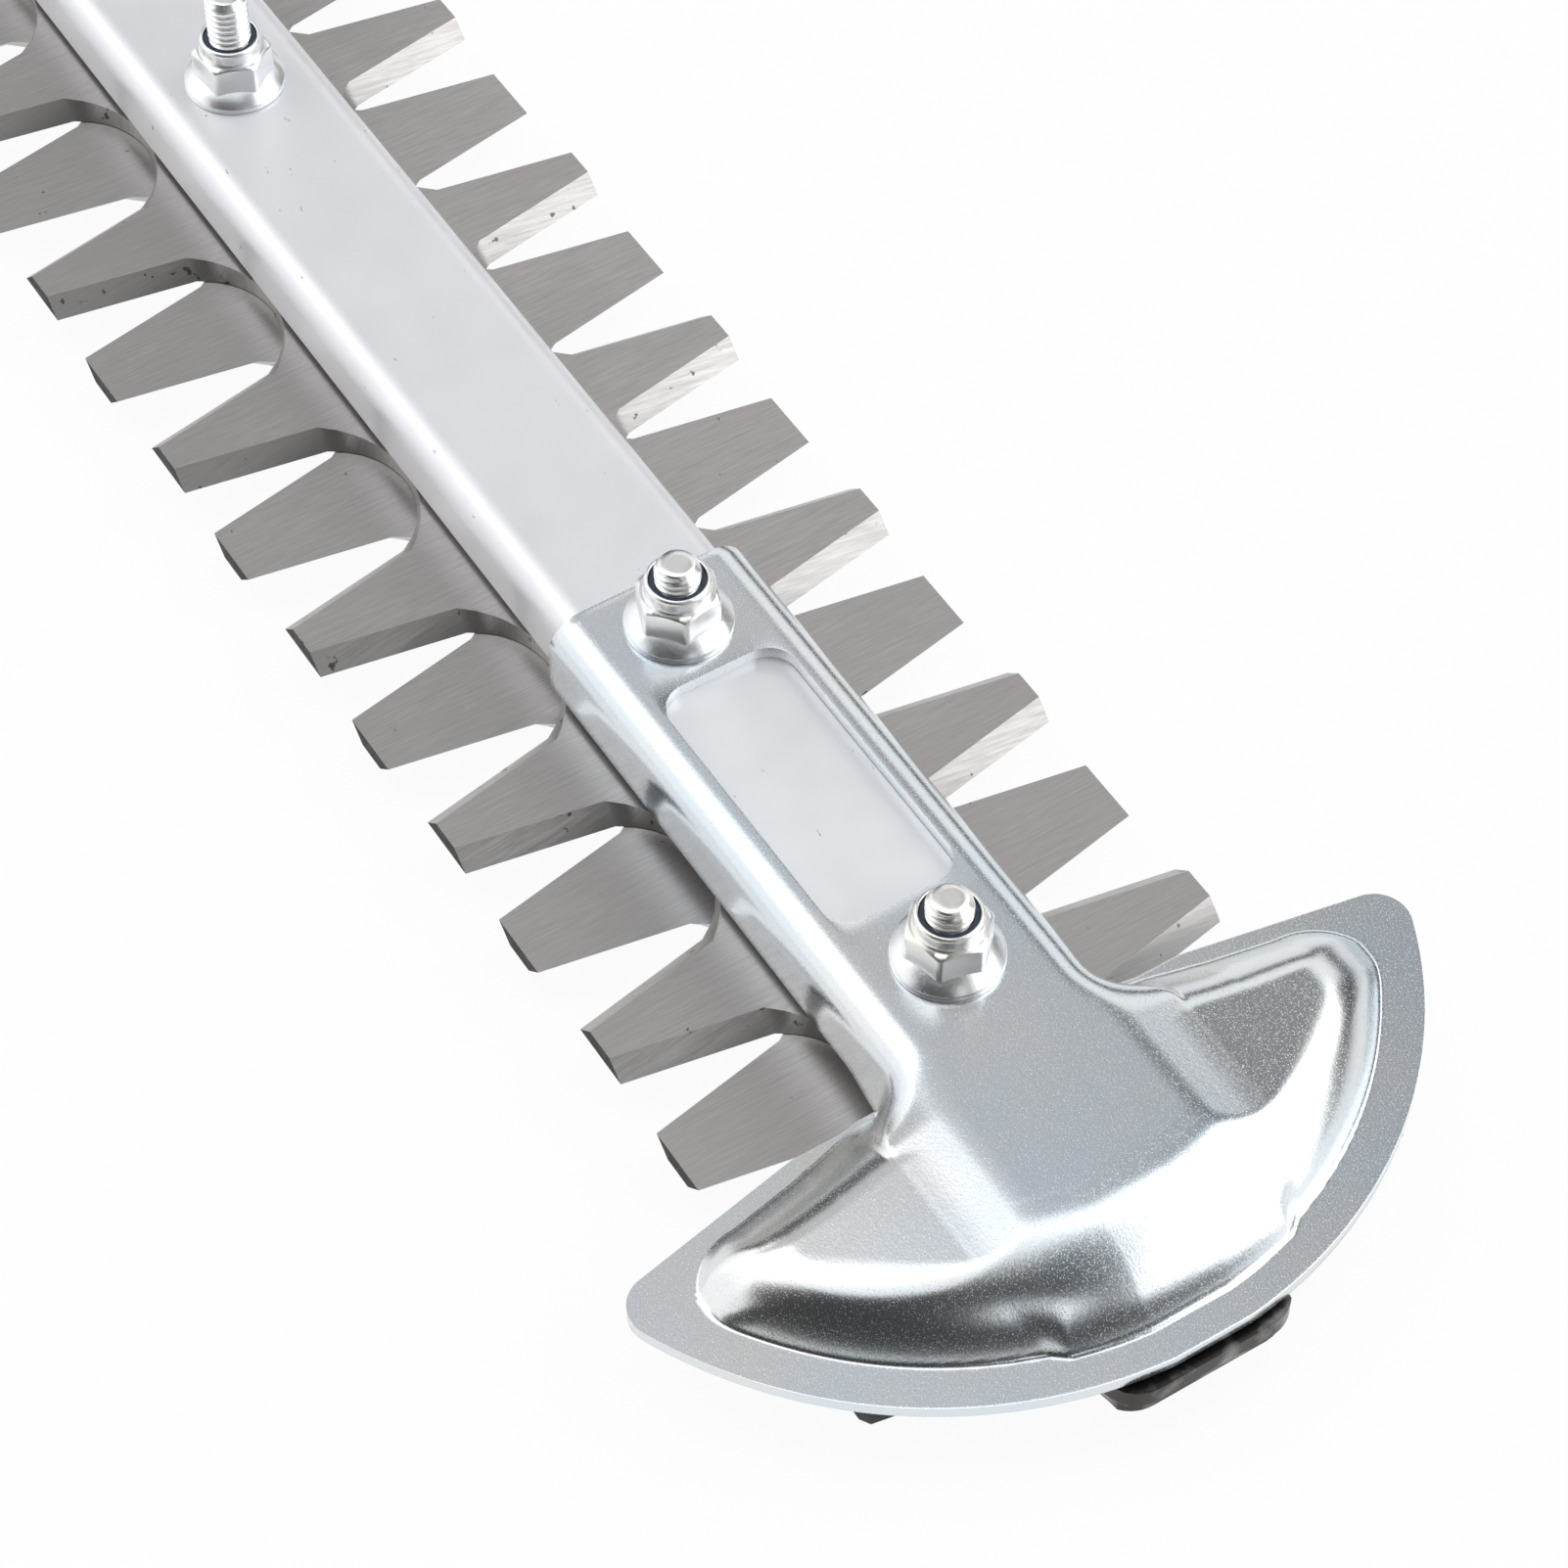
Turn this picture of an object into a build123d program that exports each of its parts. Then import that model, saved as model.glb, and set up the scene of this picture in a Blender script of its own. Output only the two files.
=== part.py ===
from build123d import *
import os
from math import sqrt

# Hedge trimmer blade: two toothed blades that slide against each other below a guide bar,
# clamped by four bolts, with a pressed guard over the tip.
# The tip points along +X and Z points up. While modelling, x = 0 is the front clamp bolt and
# z = 0 the top face of the upper blade. At the end everything moves to the box's bottom centre.
os.makedirs("parts", exist_ok=True)

# Driving dimensions in millimetres

# Teeth
PITCH = 37.6                # from tooth to tooth along one side of a blade
TEETH = 11                  # teeth on each side of a blade
TIP_HALF = 37.7             # from the middle line to the tooth tips
TOOTH_TIP = 9.6             # length of a tip along the blade, on the cutting face
TOOTH_FOOT = 16.8           # length of a tooth at its foot, on the cutting face
FOOT_LINE = 18.0            # from the middle line to where the flanks meet the root arc
ROOT_LINE = 11.75           # from the middle line to the bottom of a gap
BEVEL = 2.5                 # how far the flanks are ground back, in plan
FRONT_TOOTH = 18.6          # from the front bolt to the front tooth of the short side

# Blades
BLADE_T = 2.5               # thickness of a blade
SPINE_HALF = 13.0           # half width of the blade between its teeth
NOSE_OUT = 0.3              # how far a blade stands out in front of the guard, in mid stroke
NOSE_R = 5.0                # corners of the front end
STROKE_HALF = 9.4           # travel of a blade to each side of the middle of its stroke
REST_SHIFT = 0.45           # how far each blade stands from the middle of its stroke
RUN_GAP = 0.1               # play between faces that slide on each other

# Drive eyes at the rear end
EYE_X = 455.0               # from the front bolt back to the middle of the drive eye
EYE_LENGTH = 34.0           # outside length of the eye along the blade
EYE_WIDTH = 46.0            # outside width of the eye
EYE_CORNER = 12.0           # outside corners of the eye
EYE_SLOT_L = 30.0           # the slot across the eye
EYE_SLOT_W = 14.0

# Guide bar
BAR_HALF = 12.5             # half width
BAR_H = 10.5                # height over the blades
BAR_EDGE_R = 4.0            # rounding of the two top edges
BAR_LAND_HALF = 10.5        # half width of the land that the blades slide on
BAR_LAND_H = 0.9            # height of that land
BAR_FRONT = 8.5             # from the front bolt to the front end of the bar
BAR_REAR = 432.0            # from the front bolt back to the rear end of the bar
GEARBOX_X = 405.0           # from the front bolt back to the middle of the gearbox bolts
GEARBOX_SPACING = 30.0
GEARBOX_HOLE_R = 2.5        # tapping hole
GEARBOX_HOLE_DEPTH = 9.0

# Clamp bolts, from the front: places along the bar and the turn of each nut as in the photograph
BOLT_X = (0.0, -61.35, -180.35, -299.35)
NUT_TURN = (-44.7, -20.3, 6.9, 18.0)
ON_GUARD = (True, True, False, False)
BOLT_R = 3.0
BOLT_CLEAR = 0.2            # play of a bolt in its holes
BOLT_POINT = 0.8            # chamfer at the end of a bolt
BOLT_OUT_GUARD = 2.7        # how far a bolt stands out of a nut on the guard
BOLT_OUT_BAR = 7.4          # how far it stands out of a nut on the bare bar
HEAD_R = 5.25               # button head
HEAD_H = 3.3
HEAD_TOP_R = 3.0
COLLAR_R = 4.5              # sleeve that runs in the blades' slots
COLLAR_PLAY = 0.3           # play of the sleeve in a slot
WASHER_R = 8.0
WASHER_T = 1.2

# Lock nuts
NUT_AF = 10.0
NUT_FLANGE_R = 7.1
NUT_FLANGE_EDGE = 1.1
NUT_FLANGE_H = 2.4
NUT_HEX_H = 6.4
NUT_H = 8.6
NUT_COLLAR_R = 4.35
NUT_FLANGE_LAND = 0.1       # flat left on the flange around the hexagon's corners
NUT_BORE_CLEAR = 0.05
RING_R = 3.75               # nylon ring
RING_H = 1.9
RING_SINK = 0.35            # how far the ring lies below the crimped lip

# Tip guard
SHEET = 1.8
GUARD_SIDE_CLEAR = 0.3      # between the bar's sides and the guard
GUARD_REAR = 69.4           # from the front bolt back to the guard's rear edge
GUARD_EDGE_R = 5.0          # outside rounding of the channel
RIM_BOTTOM = 1.2            # height of the rim over the blades
WINDOW_REAR = 52.3          # from the front bolt back to the two ends of the window
WINDOW_FRONT = 9.8
WINDOW_HALF = 9.2
WINDOW_R = 4.0
NOSE_CENTRE = -4.4          # centre of the rim's front arc
RIM_R = 60.4
RIM_WIDTH = 5.2
NOSE_REAR = 9.5             # rear edge of the lobes
LOBE_STRAIGHT = 28.0        # from here on the rear edge sweeps forward
LOBE_END = 55.0             # half width where the sweep is measured
LOBE_SWEEP = 5.2
LOBE_TIP_R = 4.5
LOBE_FILLET = 4.0           # between channel and lobes
FLARE_START = 2.0           # where the channel starts to widen into the nose
FLARE_END = 19.0
RIDGE_HALF = 20.6           # half width of the bridge, where its shoulders meet the lobes
RIDGE_DROP = 1.3            # how far the shoulders fall to there
SLOPE_FLAT_R = 40.0         # the nose turns down from this radius on
FRONT_RIM_WIDTH = 4.2       # the rim is narrower in front of the bridge
FRONT_RIM_HALF = 16.5       # half width of that stretch
REAR_RIM = 2.0              # width of the rim behind the lobes
LOBE_START = 15.0           # the lobes begin inside the bridge
LOBE_SHOULDER = 36.0        # they are flat up to here
LOBE_DROP = 1.6             # how far the flat falls from the bridge to there
LOBE_TURN = 39.0            # the dome's rear edge turns in from here on
LOBE_SHARES = (0.3, 0.55, 0.75, 0.9, 0.98)  # cuts through a lobe's end, as shares of its length
DOME_HALF = 47.7            # half width over the lobes
REAR_RUN = 1.15             # length of the lobes' rear slope to its height
REAR_START = 1.15           # slope that it starts with
LOBE_END_SINK = 0.3         # the lobes' ends lie this much below the rim's top
FOOT_SINK = 0.5             # and the feet of the slopes this much

# Levels worked out from the sizes above
BAR_BOTTOM = RUN_GAP
BAR_TOP = BAR_BOTTOM + BAR_H
GUARD_TOP = BAR_TOP + SHEET
GUARD_HALF = BAR_HALF + GUARD_SIDE_CLEAR + SHEET
RIM_TOP = RIM_BOTTOM + SHEET
RIM_FRONT = NOSE_CENTRE + RIM_R
BLADE_NOSE = RIM_FRONT + NOSE_OUT
LOWER_TOP = -BLADE_T - RUN_GAP
LOWER_BOTTOM = LOWER_TOP - BLADE_T
WASHER_TOP = LOWER_BOTTOM - RUN_GAP
WASHER_BOTTOM = WASHER_TOP - WASHER_T
HEAD_BOTTOM = WASHER_BOTTOM - HEAD_H
HOLE_R = BOLT_R + BOLT_CLEAR
SLOT_HALF_W = COLLAR_R + COLLAR_PLAY
SLOT_L = 2 * (STROKE_HALF + REST_SHIFT + SLOT_HALF_W)
OVER = 5.0                  # how far cutting tools run past the material
GRIND_OVER = 0.5            # and how far the bevel cutter does


def gap_face(widening):
    """Outline of one tooth gap, open to +Y; the widening moves its flanks outwards."""
    tip = (PITCH - TOOTH_TIP) / 2 + widening
    foot = (PITCH - TOOTH_FOOT) / 2 + widening
    flare = tip + (tip - foot) * OVER / (TIP_HALF - FOOT_LINE)
    outer = TIP_HALF + OVER
    flank_out = Line((-flare, outer), (-foot, FOOT_LINE))
    root = ThreePointArc((-foot, FOOT_LINE), (0, ROOT_LINE), (foot, FOOT_LINE))
    flank_in = Line((foot, FOOT_LINE), (flare, outer))
    mouth = Line((flare, outer), (-flare, outer))
    return make_face([flank_out, root, flank_in, mouth])


def gap_tool():
    """Cutter for one gap: its flanks lean back as the bevel, and it runs past both faces."""
    lean = BEVEL / BLADE_T
    narrow = Pos(0, 0, -BLADE_T - GRIND_OVER) * gap_face(-lean * GRIND_OVER)
    wide = Pos(0, 0, GRIND_OVER) * gap_face(BEVEL + lean * GRIND_OVER)
    return loft([narrow, wide], ruled=True)


def row_plate(front_tooth, side):
    """Flat strip that one row of teeth is cut from, and the places of its gaps."""
    gaps = [front_tooth + PITCH / 2 - PITCH * n for n in range(TEETH + 1)]
    front = min(gaps[0], BLADE_NOSE)
    length = front - gaps[-1]
    strip = Pos((front + gaps[-1]) / 2, side * TIP_HALF / 2) * Rectangle(length, TIP_HALF)
    return strip, gaps


def blade():
    """One blade at the middle of its stroke, top face at z = 0, cutting face below."""
    spine_length = BLADE_NOSE + EYE_X
    spine = Pos(BLADE_NOSE - spine_length / 2, 0) * Rectangle(spine_length, 2 * SPINE_HALF)
    nose = spine.vertices().sort_by(Axis.X)[-2:]
    spine = fillet(nose, NOSE_R)
    eye = Pos(-EYE_X, 0) * RectangleRounded(EYE_LENGTH, EYE_WIDTH, EYE_CORNER)
    left, left_gaps = row_plate(FRONT_TOOTH, -1)
    right, right_gaps = row_plate(FRONT_TOOTH + PITCH / 2, 1)
    outline = spine + eye + left + right
    body = extrude(outline, BLADE_T, dir=(0, 0, -1))
    tool = gap_tool()
    cutters = [Pos(x, 0, 0) * tool for x in right_gaps]
    mirrored = mirror(tool, about=Plane.XZ)
    cutters += [Pos(x, 0, 0) * mirrored for x in left_gaps]
    for x in BOLT_X:
        slot = Pos(x, 0) * SlotOverall(SLOT_L, 2 * SLOT_HALF_W)
        cutters.append(extrude(slot, BLADE_T + OVER, both=True))
    eye_slot = Pos(-EYE_X, 0) * SlotOverall(EYE_SLOT_L, EYE_SLOT_W, rotation=90)
    cutters.append(extrude(eye_slot, BLADE_T + OVER, both=True))
    return body - cutters


def guide_bar():
    """Aluminium bar with rounded top edges, a sliding land below, and all its holes."""
    length = BAR_FRONT + BAR_REAR
    middle = BAR_FRONT - length / 2
    body_h = BAR_H - BAR_LAND_H
    bar = Pos(middle, 0, BAR_TOP - body_h / 2) * Box(length, 2 * BAR_HALF, body_h)
    top_edges = bar.edges().filter_by(Axis.X).group_by(Axis.Z)[-1]
    bar = fillet(top_edges, BAR_EDGE_R)
    land_z = BAR_BOTTOM + BAR_LAND_H / 2
    bar += Pos(middle, 0, land_z) * Box(length, 2 * BAR_LAND_HALF, BAR_LAND_H)
    holes = [Pos(x, 0, BAR_BOTTOM + BAR_H / 2) * Cylinder(HOLE_R, BAR_H + OVER) for x in BOLT_X]
    for side in (-1, 1):
        x = -GEARBOX_X + side * GEARBOX_SPACING / 2
        z = BAR_TOP - GEARBOX_HOLE_DEPTH / 2
        holes.append(Pos(x, 0, z) * Cylinder(GEARBOX_HOLE_R, GEARBOX_HOLE_DEPTH))
    return bar - holes


def guard_cut(x, flat, side, drop, inset, floor):
    """Upright cut across the guard: flat top, rounded shoulders and straight sides."""
    top = GUARD_TOP - inset
    half = side - inset
    shoulder = top - drop
    cut = [
        Line((-half, floor), (-half, shoulder)),
        TangentArc((-flat, top), (-half, shoulder), tangent=(-1, 0)),
        Line((-flat, top), (flat, top)),
        TangentArc((flat, top), (half, shoulder), tangent=(1, 0)),
        Line((half, shoulder), (half, floor)),
        Line((half, floor), (-half, floor)),
    ]
    return Plane((x, 0, 0), x_dir=(0, 1, 0), z_dir=(1, 0, 0)) * make_face(cut)


def channel(inset, floor, rear):
    """The guard's channel: straight over the bar, then flaring out into the nose."""
    flat = GUARD_HALF - GUARD_EDGE_R
    drop = GUARD_EDGE_R - inset
    straight_end = guard_cut(FLARE_START, flat, GUARD_HALF, drop, inset, floor)
    wide = guard_cut(FLARE_END, flat, RIDGE_HALF, RIDGE_DROP, inset, floor)
    straight = extrude(straight_end, FLARE_START - rear, dir=(-1, 0, 0))
    flare = loft([straight_end, wide], ruled=True)
    return straight + flare


def front_slope(rim_width, inset, floor):
    """Round block about the nose's centre whose top turns down on an arc to the rim."""
    top = GUARD_TOP - inset
    foot_r = RIM_R - rim_width - inset
    foot = RIM_TOP - FOOT_SINK - inset
    start = (SLOPE_FLAT_R, top)
    slope = TangentArc(start, (foot_r, foot), tangent=(1, 0))
    rest = Polyline((foot_r, foot), (foot_r, floor), (0, floor), (0, top), start)
    turned = revolve(Plane.XZ * make_face([slope, rest]), Axis.Z)
    return Pos(NOSE_CENTRE, 0, 0) * turned


def bridge(inset, floor):
    """The channel carried on through the nose."""
    flat = GUARD_HALF - GUARD_EDGE_R
    wide = guard_cut(FLARE_END, flat, RIDGE_HALF, RIDGE_DROP, inset, floor)
    return extrude(wide, RIM_R, dir=(1, 0, 0))


def lobe_rear(y):
    """Where the lobes' rear edge lies at the distance y from the middle."""
    share = max(0.0, abs(y) - LOBE_STRAIGHT) / (LOBE_END - LOBE_STRAIGHT)
    return NOSE_REAR + LOBE_SWEEP * share


def dome_rear(y, end):
    """Rear foot of the dome: beside the rear edge, then turning in on an arc to the lobe's end."""
    turn = end - LOBE_TURN
    past = max(0.0, y - LOBE_TURN)
    return lobe_rear(min(y, LOBE_TURN)) + REAR_RIM + turn - sqrt(turn ** 2 - past ** 2)


def lobe_crest(y, end):
    """Height of a lobe: flat and falling a little from the bridge, then turning down to its end."""
    high = GUARD_TOP - RIDGE_DROP
    low = RIM_TOP - LOBE_END_SINK
    flat = high - LOBE_DROP * (y - RIDGE_HALF) / (LOBE_SHOULDER - RIDGE_HALF)
    past = max(0.0, y - LOBE_SHOULDER) / (end - LOBE_SHOULDER)
    return flat + (low - flat) * past ** 2


def lobe_cut(y, side, end, inset, floor):
    """Upright cut along a lobe at the distance y: a rear slope, then level to the front."""
    rear = dome_rear(y, end) + inset
    base = RIM_TOP - FOOT_SINK - inset
    crest = lobe_crest(y, end) - inset
    level = rear + REAR_RUN * (crest - base)
    slope = Spline((rear, base), (level, crest), tangents=((1, REAR_START), (1, 0)))
    rest = Polyline((level, crest), (RIM_R, crest), (RIM_R, floor), (rear, floor), (rear, base))
    return Plane((0, side * y, 0), x_dir=(1, 0, 0), z_dir=(0, -1, 0)) * make_face([slope, rest])


def lobe(side, inset, floor):
    """One lobe of the half-moon, straight between cuts; its front stays open to be cut."""
    end = DOME_HALF - inset
    places = [LOBE_START, LOBE_STRAIGHT, LOBE_SHOULDER]
    places += [LOBE_SHOULDER + share * (end - LOBE_SHOULDER) for share in LOBE_SHARES]
    return loft([lobe_cut(y, side, end, inset, floor) for y in places], ruled=True)


def nose(inset, floor):
    """Bridge and lobes under one front slope, which stands out further in front of the bridge."""
    beam = bridge(inset, floor)
    dome = beam + lobe(-1, inset, floor) + lobe(1, inset, floor)
    width = 2 * (FRONT_RIM_HALF - inset)
    middle = Pos(RIM_R / 2, 0, (GUARD_TOP + floor) / 2) * Box(RIM_R, width, GUARD_TOP - floor)
    front = beam & middle & front_slope(FRONT_RIM_WIDTH, inset, floor)
    return (dome & front_slope(RIM_WIDTH, inset, floor)) + front


def guard_form(inset, floor, rear):
    """All of the guard as one solid block, drawn in by the sheet for its inside."""
    return channel(inset, floor, rear) + nose(inset, floor)


def rim_plate():
    """Flat half-moon rim with the roots of the channel's walls."""
    far = RIM_R + OVER
    sweep_end = lobe_rear(far)
    corners = [
        (NOSE_REAR, -LOBE_STRAIGHT), (sweep_end, -far), (far, -far),
        (far, far), (sweep_end, far), (NOSE_REAR, LOBE_STRAIGHT),
    ]
    moon = Pos(NOSE_CENTRE, 0) * Circle(RIM_R) & Polygon(*corners, align=None)
    stem_length = NOSE_REAR + GUARD_REAR + OVER
    stem = Pos(stem_length / 2 - GUARD_REAR, 0) * Rectangle(stem_length, 2 * GUARD_HALF)
    outline = moon + stem
    tips = outline.vertices().filter_by(lambda v: abs(v.Y) > LOBE_STRAIGHT + 1)
    outline = fillet(tips, LOBE_TIP_R)
    inner = [v for v in outline.vertices() if abs(v.X - NOSE_REAR) < 0.01 and abs(v.Y) < GUARD_HALF + 0.01]
    outline = fillet(inner, LOBE_FILLET)
    return Pos(0, 0, RIM_BOTTOM) * extrude(outline, SHEET)


def tip_guard():
    """Pressed sheet cap: outer form less inner form, with window and bolt holes."""
    below = RIM_BOTTOM - OVER
    behind = -GUARD_REAR - OVER
    outer = guard_form(0, RIM_BOTTOM, -GUARD_REAR) + rim_plate()
    inner = guard_form(SHEET, below, behind)
    window_x = -(WINDOW_REAR + WINDOW_FRONT) / 2
    window_l = WINDOW_REAR - WINDOW_FRONT
    window = Pos(window_x, 0, GUARD_TOP) * RectangleRounded(window_l, 2 * WINDOW_HALF, WINDOW_R)
    cuts = [extrude(window, OVER, both=True)]
    for x, on_guard in zip(BOLT_X, ON_GUARD):
        if on_guard:
            cuts.append(Pos(x, 0, GUARD_TOP) * Cylinder(HOLE_R, 2 * OVER))
    return outer - inner - cuts


def seat_z(on_guard):
    """Height that a nut stands on."""
    return GUARD_TOP if on_guard else BAR_TOP


def blade_bolt(x, on_guard):
    """Button head bolt from below, with a chamfered end above the nut."""
    out = BOLT_OUT_GUARD if on_guard else BOLT_OUT_BAR
    end = seat_z(on_guard) + NUT_H + out
    point = BOLT_R - BOLT_POINT
    profile = Polyline(
        (0, HEAD_BOTTOM), (HEAD_TOP_R, HEAD_BOTTOM), (HEAD_R, WASHER_BOTTOM),
        (BOLT_R, WASHER_BOTTOM), (BOLT_R, end - BOLT_POINT), (point, end), (0, end),
        (0, HEAD_BOTTOM),
    )
    return Pos(x, 0, 0) * revolve(Plane.XZ * make_face(profile), Axis.Z)


def lock_nut(x, on_guard, turn):
    """Flanged nut: a flange, a hexagon and a collar for the nylon ring."""
    bore = BOLT_R + NUT_BORE_CLEAR
    flange_top = NUT_AF / sqrt(3) + NUT_FLANGE_LAND
    ring_seat = NUT_H - RING_SINK - RING_H
    hexagon = RegularPolygon(NUT_AF / 2, 6, major_radius=False)
    body = extrude(hexagon, NUT_HEX_H)
    flange = Polyline(
        (0, 0), (NUT_FLANGE_R, 0), (NUT_FLANGE_R, NUT_FLANGE_EDGE), (flange_top, NUT_FLANGE_H),
        (0, NUT_FLANGE_H), (0, 0),
    )
    body += revolve(Plane.XZ * make_face(flange), Axis.Z)
    body += Pos(0, 0, NUT_H / 2) * Cylinder(NUT_COLLAR_R, NUT_H)
    body -= Pos(0, 0, NUT_H / 2) * Cylinder(bore, NUT_H)
    body -= Pos(0, 0, (ring_seat + NUT_H) / 2) * Cylinder(RING_R, NUT_H - ring_seat)
    return Pos(x, 0, seat_z(on_guard)) * Rot(0, 0, turn) * body


def lock_ring(x, on_guard):
    """Nylon ring held in the nut's collar."""
    middle = NUT_H - RING_SINK - RING_H / 2
    ring = Cylinder(RING_R, RING_H) - Cylinder(BOLT_R + NUT_BORE_CLEAR, RING_H)
    return Pos(x, 0, seat_z(on_guard) + middle) * ring


def slide_collar(x):
    """Sleeve between bar and washer that the blades' slots run on."""
    height = BAR_BOTTOM - WASHER_TOP
    sleeve = Cylinder(COLLAR_R, height) - Cylinder(HOLE_R, height)
    return Pos(x, 0, (BAR_BOTTOM + WASHER_TOP) / 2) * sleeve


def washer(x):
    """Plate washer under the lower blade."""
    disc = Cylinder(WASHER_R, WASHER_T) - Cylinder(HOLE_R, WASHER_T)
    return Pos(x, 0, (WASHER_TOP + WASHER_BOTTOM) / 2) * disc


def assembly():
    """Every piece by name, in its place."""
    one_blade = blade()
    turned = Pos(0, 0, LOWER_BOTTOM) * Rot(180, 0, 0) * one_blade
    parts = {
        "guide_bar": guide_bar(),
        "tip_guard": tip_guard(),
        "upper_blade": Pos(REST_SHIFT, 0, 0) * one_blade,
        "lower_blade": Pos(-REST_SHIFT, 0, 0) * turned,
    }
    for n, x in enumerate(BOLT_X):
        label = n + 1
        parts[f"blade_bolt_{label}"] = blade_bolt(x, ON_GUARD[n])
        parts[f"lock_nut_{label}"] = lock_nut(x, ON_GUARD[n], NUT_TURN[n])
        parts[f"lock_ring_{label}"] = lock_ring(x, ON_GUARD[n])
        parts[f"slide_collar_{label}"] = slide_collar(x)
        parts[f"washer_{label}"] = washer(x)
    return parts


# The record's origin: the middle of the whole box's bottom face
front_end = max(RIM_FRONT, BLADE_NOSE + REST_SHIFT)
rear_end = -EYE_X - EYE_LENGTH / 2 - REST_SHIFT
to_origin = Pos(-(front_end + rear_end) / 2, 0, -HEAD_BOTTOM)

for name, shape in assembly().items():
    export_step(to_origin * shape, f"parts/{name}.step")
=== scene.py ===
from math import radians

import bmesh
import bpy
import numpy as np
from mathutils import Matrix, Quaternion, Vector
from mathutils.geometry import delaunay_2d_cdt


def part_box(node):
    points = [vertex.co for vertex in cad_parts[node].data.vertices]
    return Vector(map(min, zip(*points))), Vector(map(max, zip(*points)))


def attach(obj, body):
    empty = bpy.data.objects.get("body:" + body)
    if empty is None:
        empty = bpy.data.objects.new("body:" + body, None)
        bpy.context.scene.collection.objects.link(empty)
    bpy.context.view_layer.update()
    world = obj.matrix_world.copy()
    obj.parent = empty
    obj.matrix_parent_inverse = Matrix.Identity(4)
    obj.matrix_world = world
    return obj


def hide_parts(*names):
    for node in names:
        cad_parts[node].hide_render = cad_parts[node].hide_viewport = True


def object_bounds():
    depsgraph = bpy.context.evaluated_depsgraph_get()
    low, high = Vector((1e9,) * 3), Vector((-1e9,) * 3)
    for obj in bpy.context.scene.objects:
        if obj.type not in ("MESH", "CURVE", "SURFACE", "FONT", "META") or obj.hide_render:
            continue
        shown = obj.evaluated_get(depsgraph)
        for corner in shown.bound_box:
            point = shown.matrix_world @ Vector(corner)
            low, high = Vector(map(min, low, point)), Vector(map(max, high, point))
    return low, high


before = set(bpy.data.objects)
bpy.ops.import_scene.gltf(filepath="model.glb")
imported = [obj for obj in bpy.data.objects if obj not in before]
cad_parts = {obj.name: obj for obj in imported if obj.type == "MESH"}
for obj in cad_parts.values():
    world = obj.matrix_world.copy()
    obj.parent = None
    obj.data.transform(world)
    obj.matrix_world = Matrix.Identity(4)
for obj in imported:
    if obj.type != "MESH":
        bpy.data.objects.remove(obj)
cad_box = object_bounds()

# Guide bar
# A drawn aluminium bar, blasted to a pale satin, with two rounded top edges and a narrow land
# below that the blades slide on. The clamp bolts go through it and a gear case bolts to its rear.
MM = 0.001
nut_low, nut_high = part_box("lock_nut_1")
ORIGIN = np.array([(nut_low[0] + nut_high[0]) / 2, 0.0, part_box("upper_blade")[1][2]])
BAR_HALF = 12.5
BAR_BOTTOM = 0.1
BAR_TOP = 10.6
BAR_EDGE_R = 4.0
BAR_LAND_HALF = 10.5
BAR_LAND_H = 0.9
GEARBOX_HOLES = (-420.0, -390.0)
GEARBOX_HOLE_R = 2.5
GEARBOX_HOLE_DEPTH = 9.0
HOLE_STEPS = 32
RING_STEPS = 5
HOLE_WALL = ((0, 1), (0.03, 0.97), (0.97, 0.97), (1, 0.9), (1, 0.02))
ALUMINIUM = (0.88, 0.885, 0.91, 1.0)
ALUMINIUM_DARK = (0.845, 0.85, 0.875, 1.0)


def grid_quads(rows, cols, closed=False):
    """Faces of a grid of points stored row by row: each joins two neighbours of one row with the
    same two of the next row, and a closed grid also joins the last column to the first."""
    row = np.arange(rows - 1)[:, None]
    col = np.arange(cols if closed else cols - 1)[None, :]
    after = (col + 1) % cols
    low = row * cols
    high = low + cols
    return np.stack([low + col, low + after, high + after, high + col], axis=-1).reshape(-1, 4)


def joined(patches):
    """Several (points, faces) patches as one, each patch's faces counted on from the last."""
    points = np.concatenate([p for p, _ in patches])
    starts = np.cumsum([0] + [len(p) for p, _ in patches[:-1]])
    faces = [face for (_, f), s in zip(patches, starts) for face in (np.asarray(f) + s).tolist()]
    return points, faces


def make_piece(name, points, faces, materials, body, nodes, outward=True, sharp=35):
    """A mesh object from points in millimetres about the front bolt, with coinciding points
    merged, its faces turned outwards and its edges sharp above an angle in degrees."""
    mesh = bpy.data.meshes.new(name)
    mesh.from_pydata((ORIGIN + np.asarray(points) * MM).tolist(), [], faces)
    bm = bmesh.new()
    bm.from_mesh(mesh)
    bmesh.ops.remove_doubles(bm, verts=bm.verts, dist=2e-6)
    if outward:
        bmesh.ops.recalc_face_normals(bm, faces=bm.faces)
    bm.to_mesh(mesh)
    bm.free()
    for material in materials:
        mesh.materials.append(material)
    mesh.shade_smooth()
    mesh.set_sharp_from_angle(angle=radians(sharp))
    piece = bpy.data.objects.new(name, mesh)
    bpy.context.scene.collection.objects.link(piece)
    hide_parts(*nodes)
    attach(piece, body)
    return piece


def rounded_edges(piece, width, segments=2, angle=40, level=False):
    """Narrow rounding of a piece's sharp edges, in millimetres; level keeps flat faces flat."""
    bevel = piece.modifiers.new("edges", "BEVEL")
    bevel.width = width * MM
    bevel.segments = segments
    bevel.limit_method = "ANGLE"
    bevel.angle_limit = radians(angle)
    bevel.harden_normals = level


def new_material(name, colour, metallic, roughness):
    """A material with its shader node, whose even values are set on the shader's own sockets."""
    material = bpy.data.materials.new(name)
    material.use_nodes = True
    shader = material.node_tree.nodes["Principled BSDF"]
    shader.inputs["Base Color"].default_value = colour
    shader.inputs["Metallic"].default_value = metallic
    shader.inputs["Roughness"].default_value = roughness
    return material, shader


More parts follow.
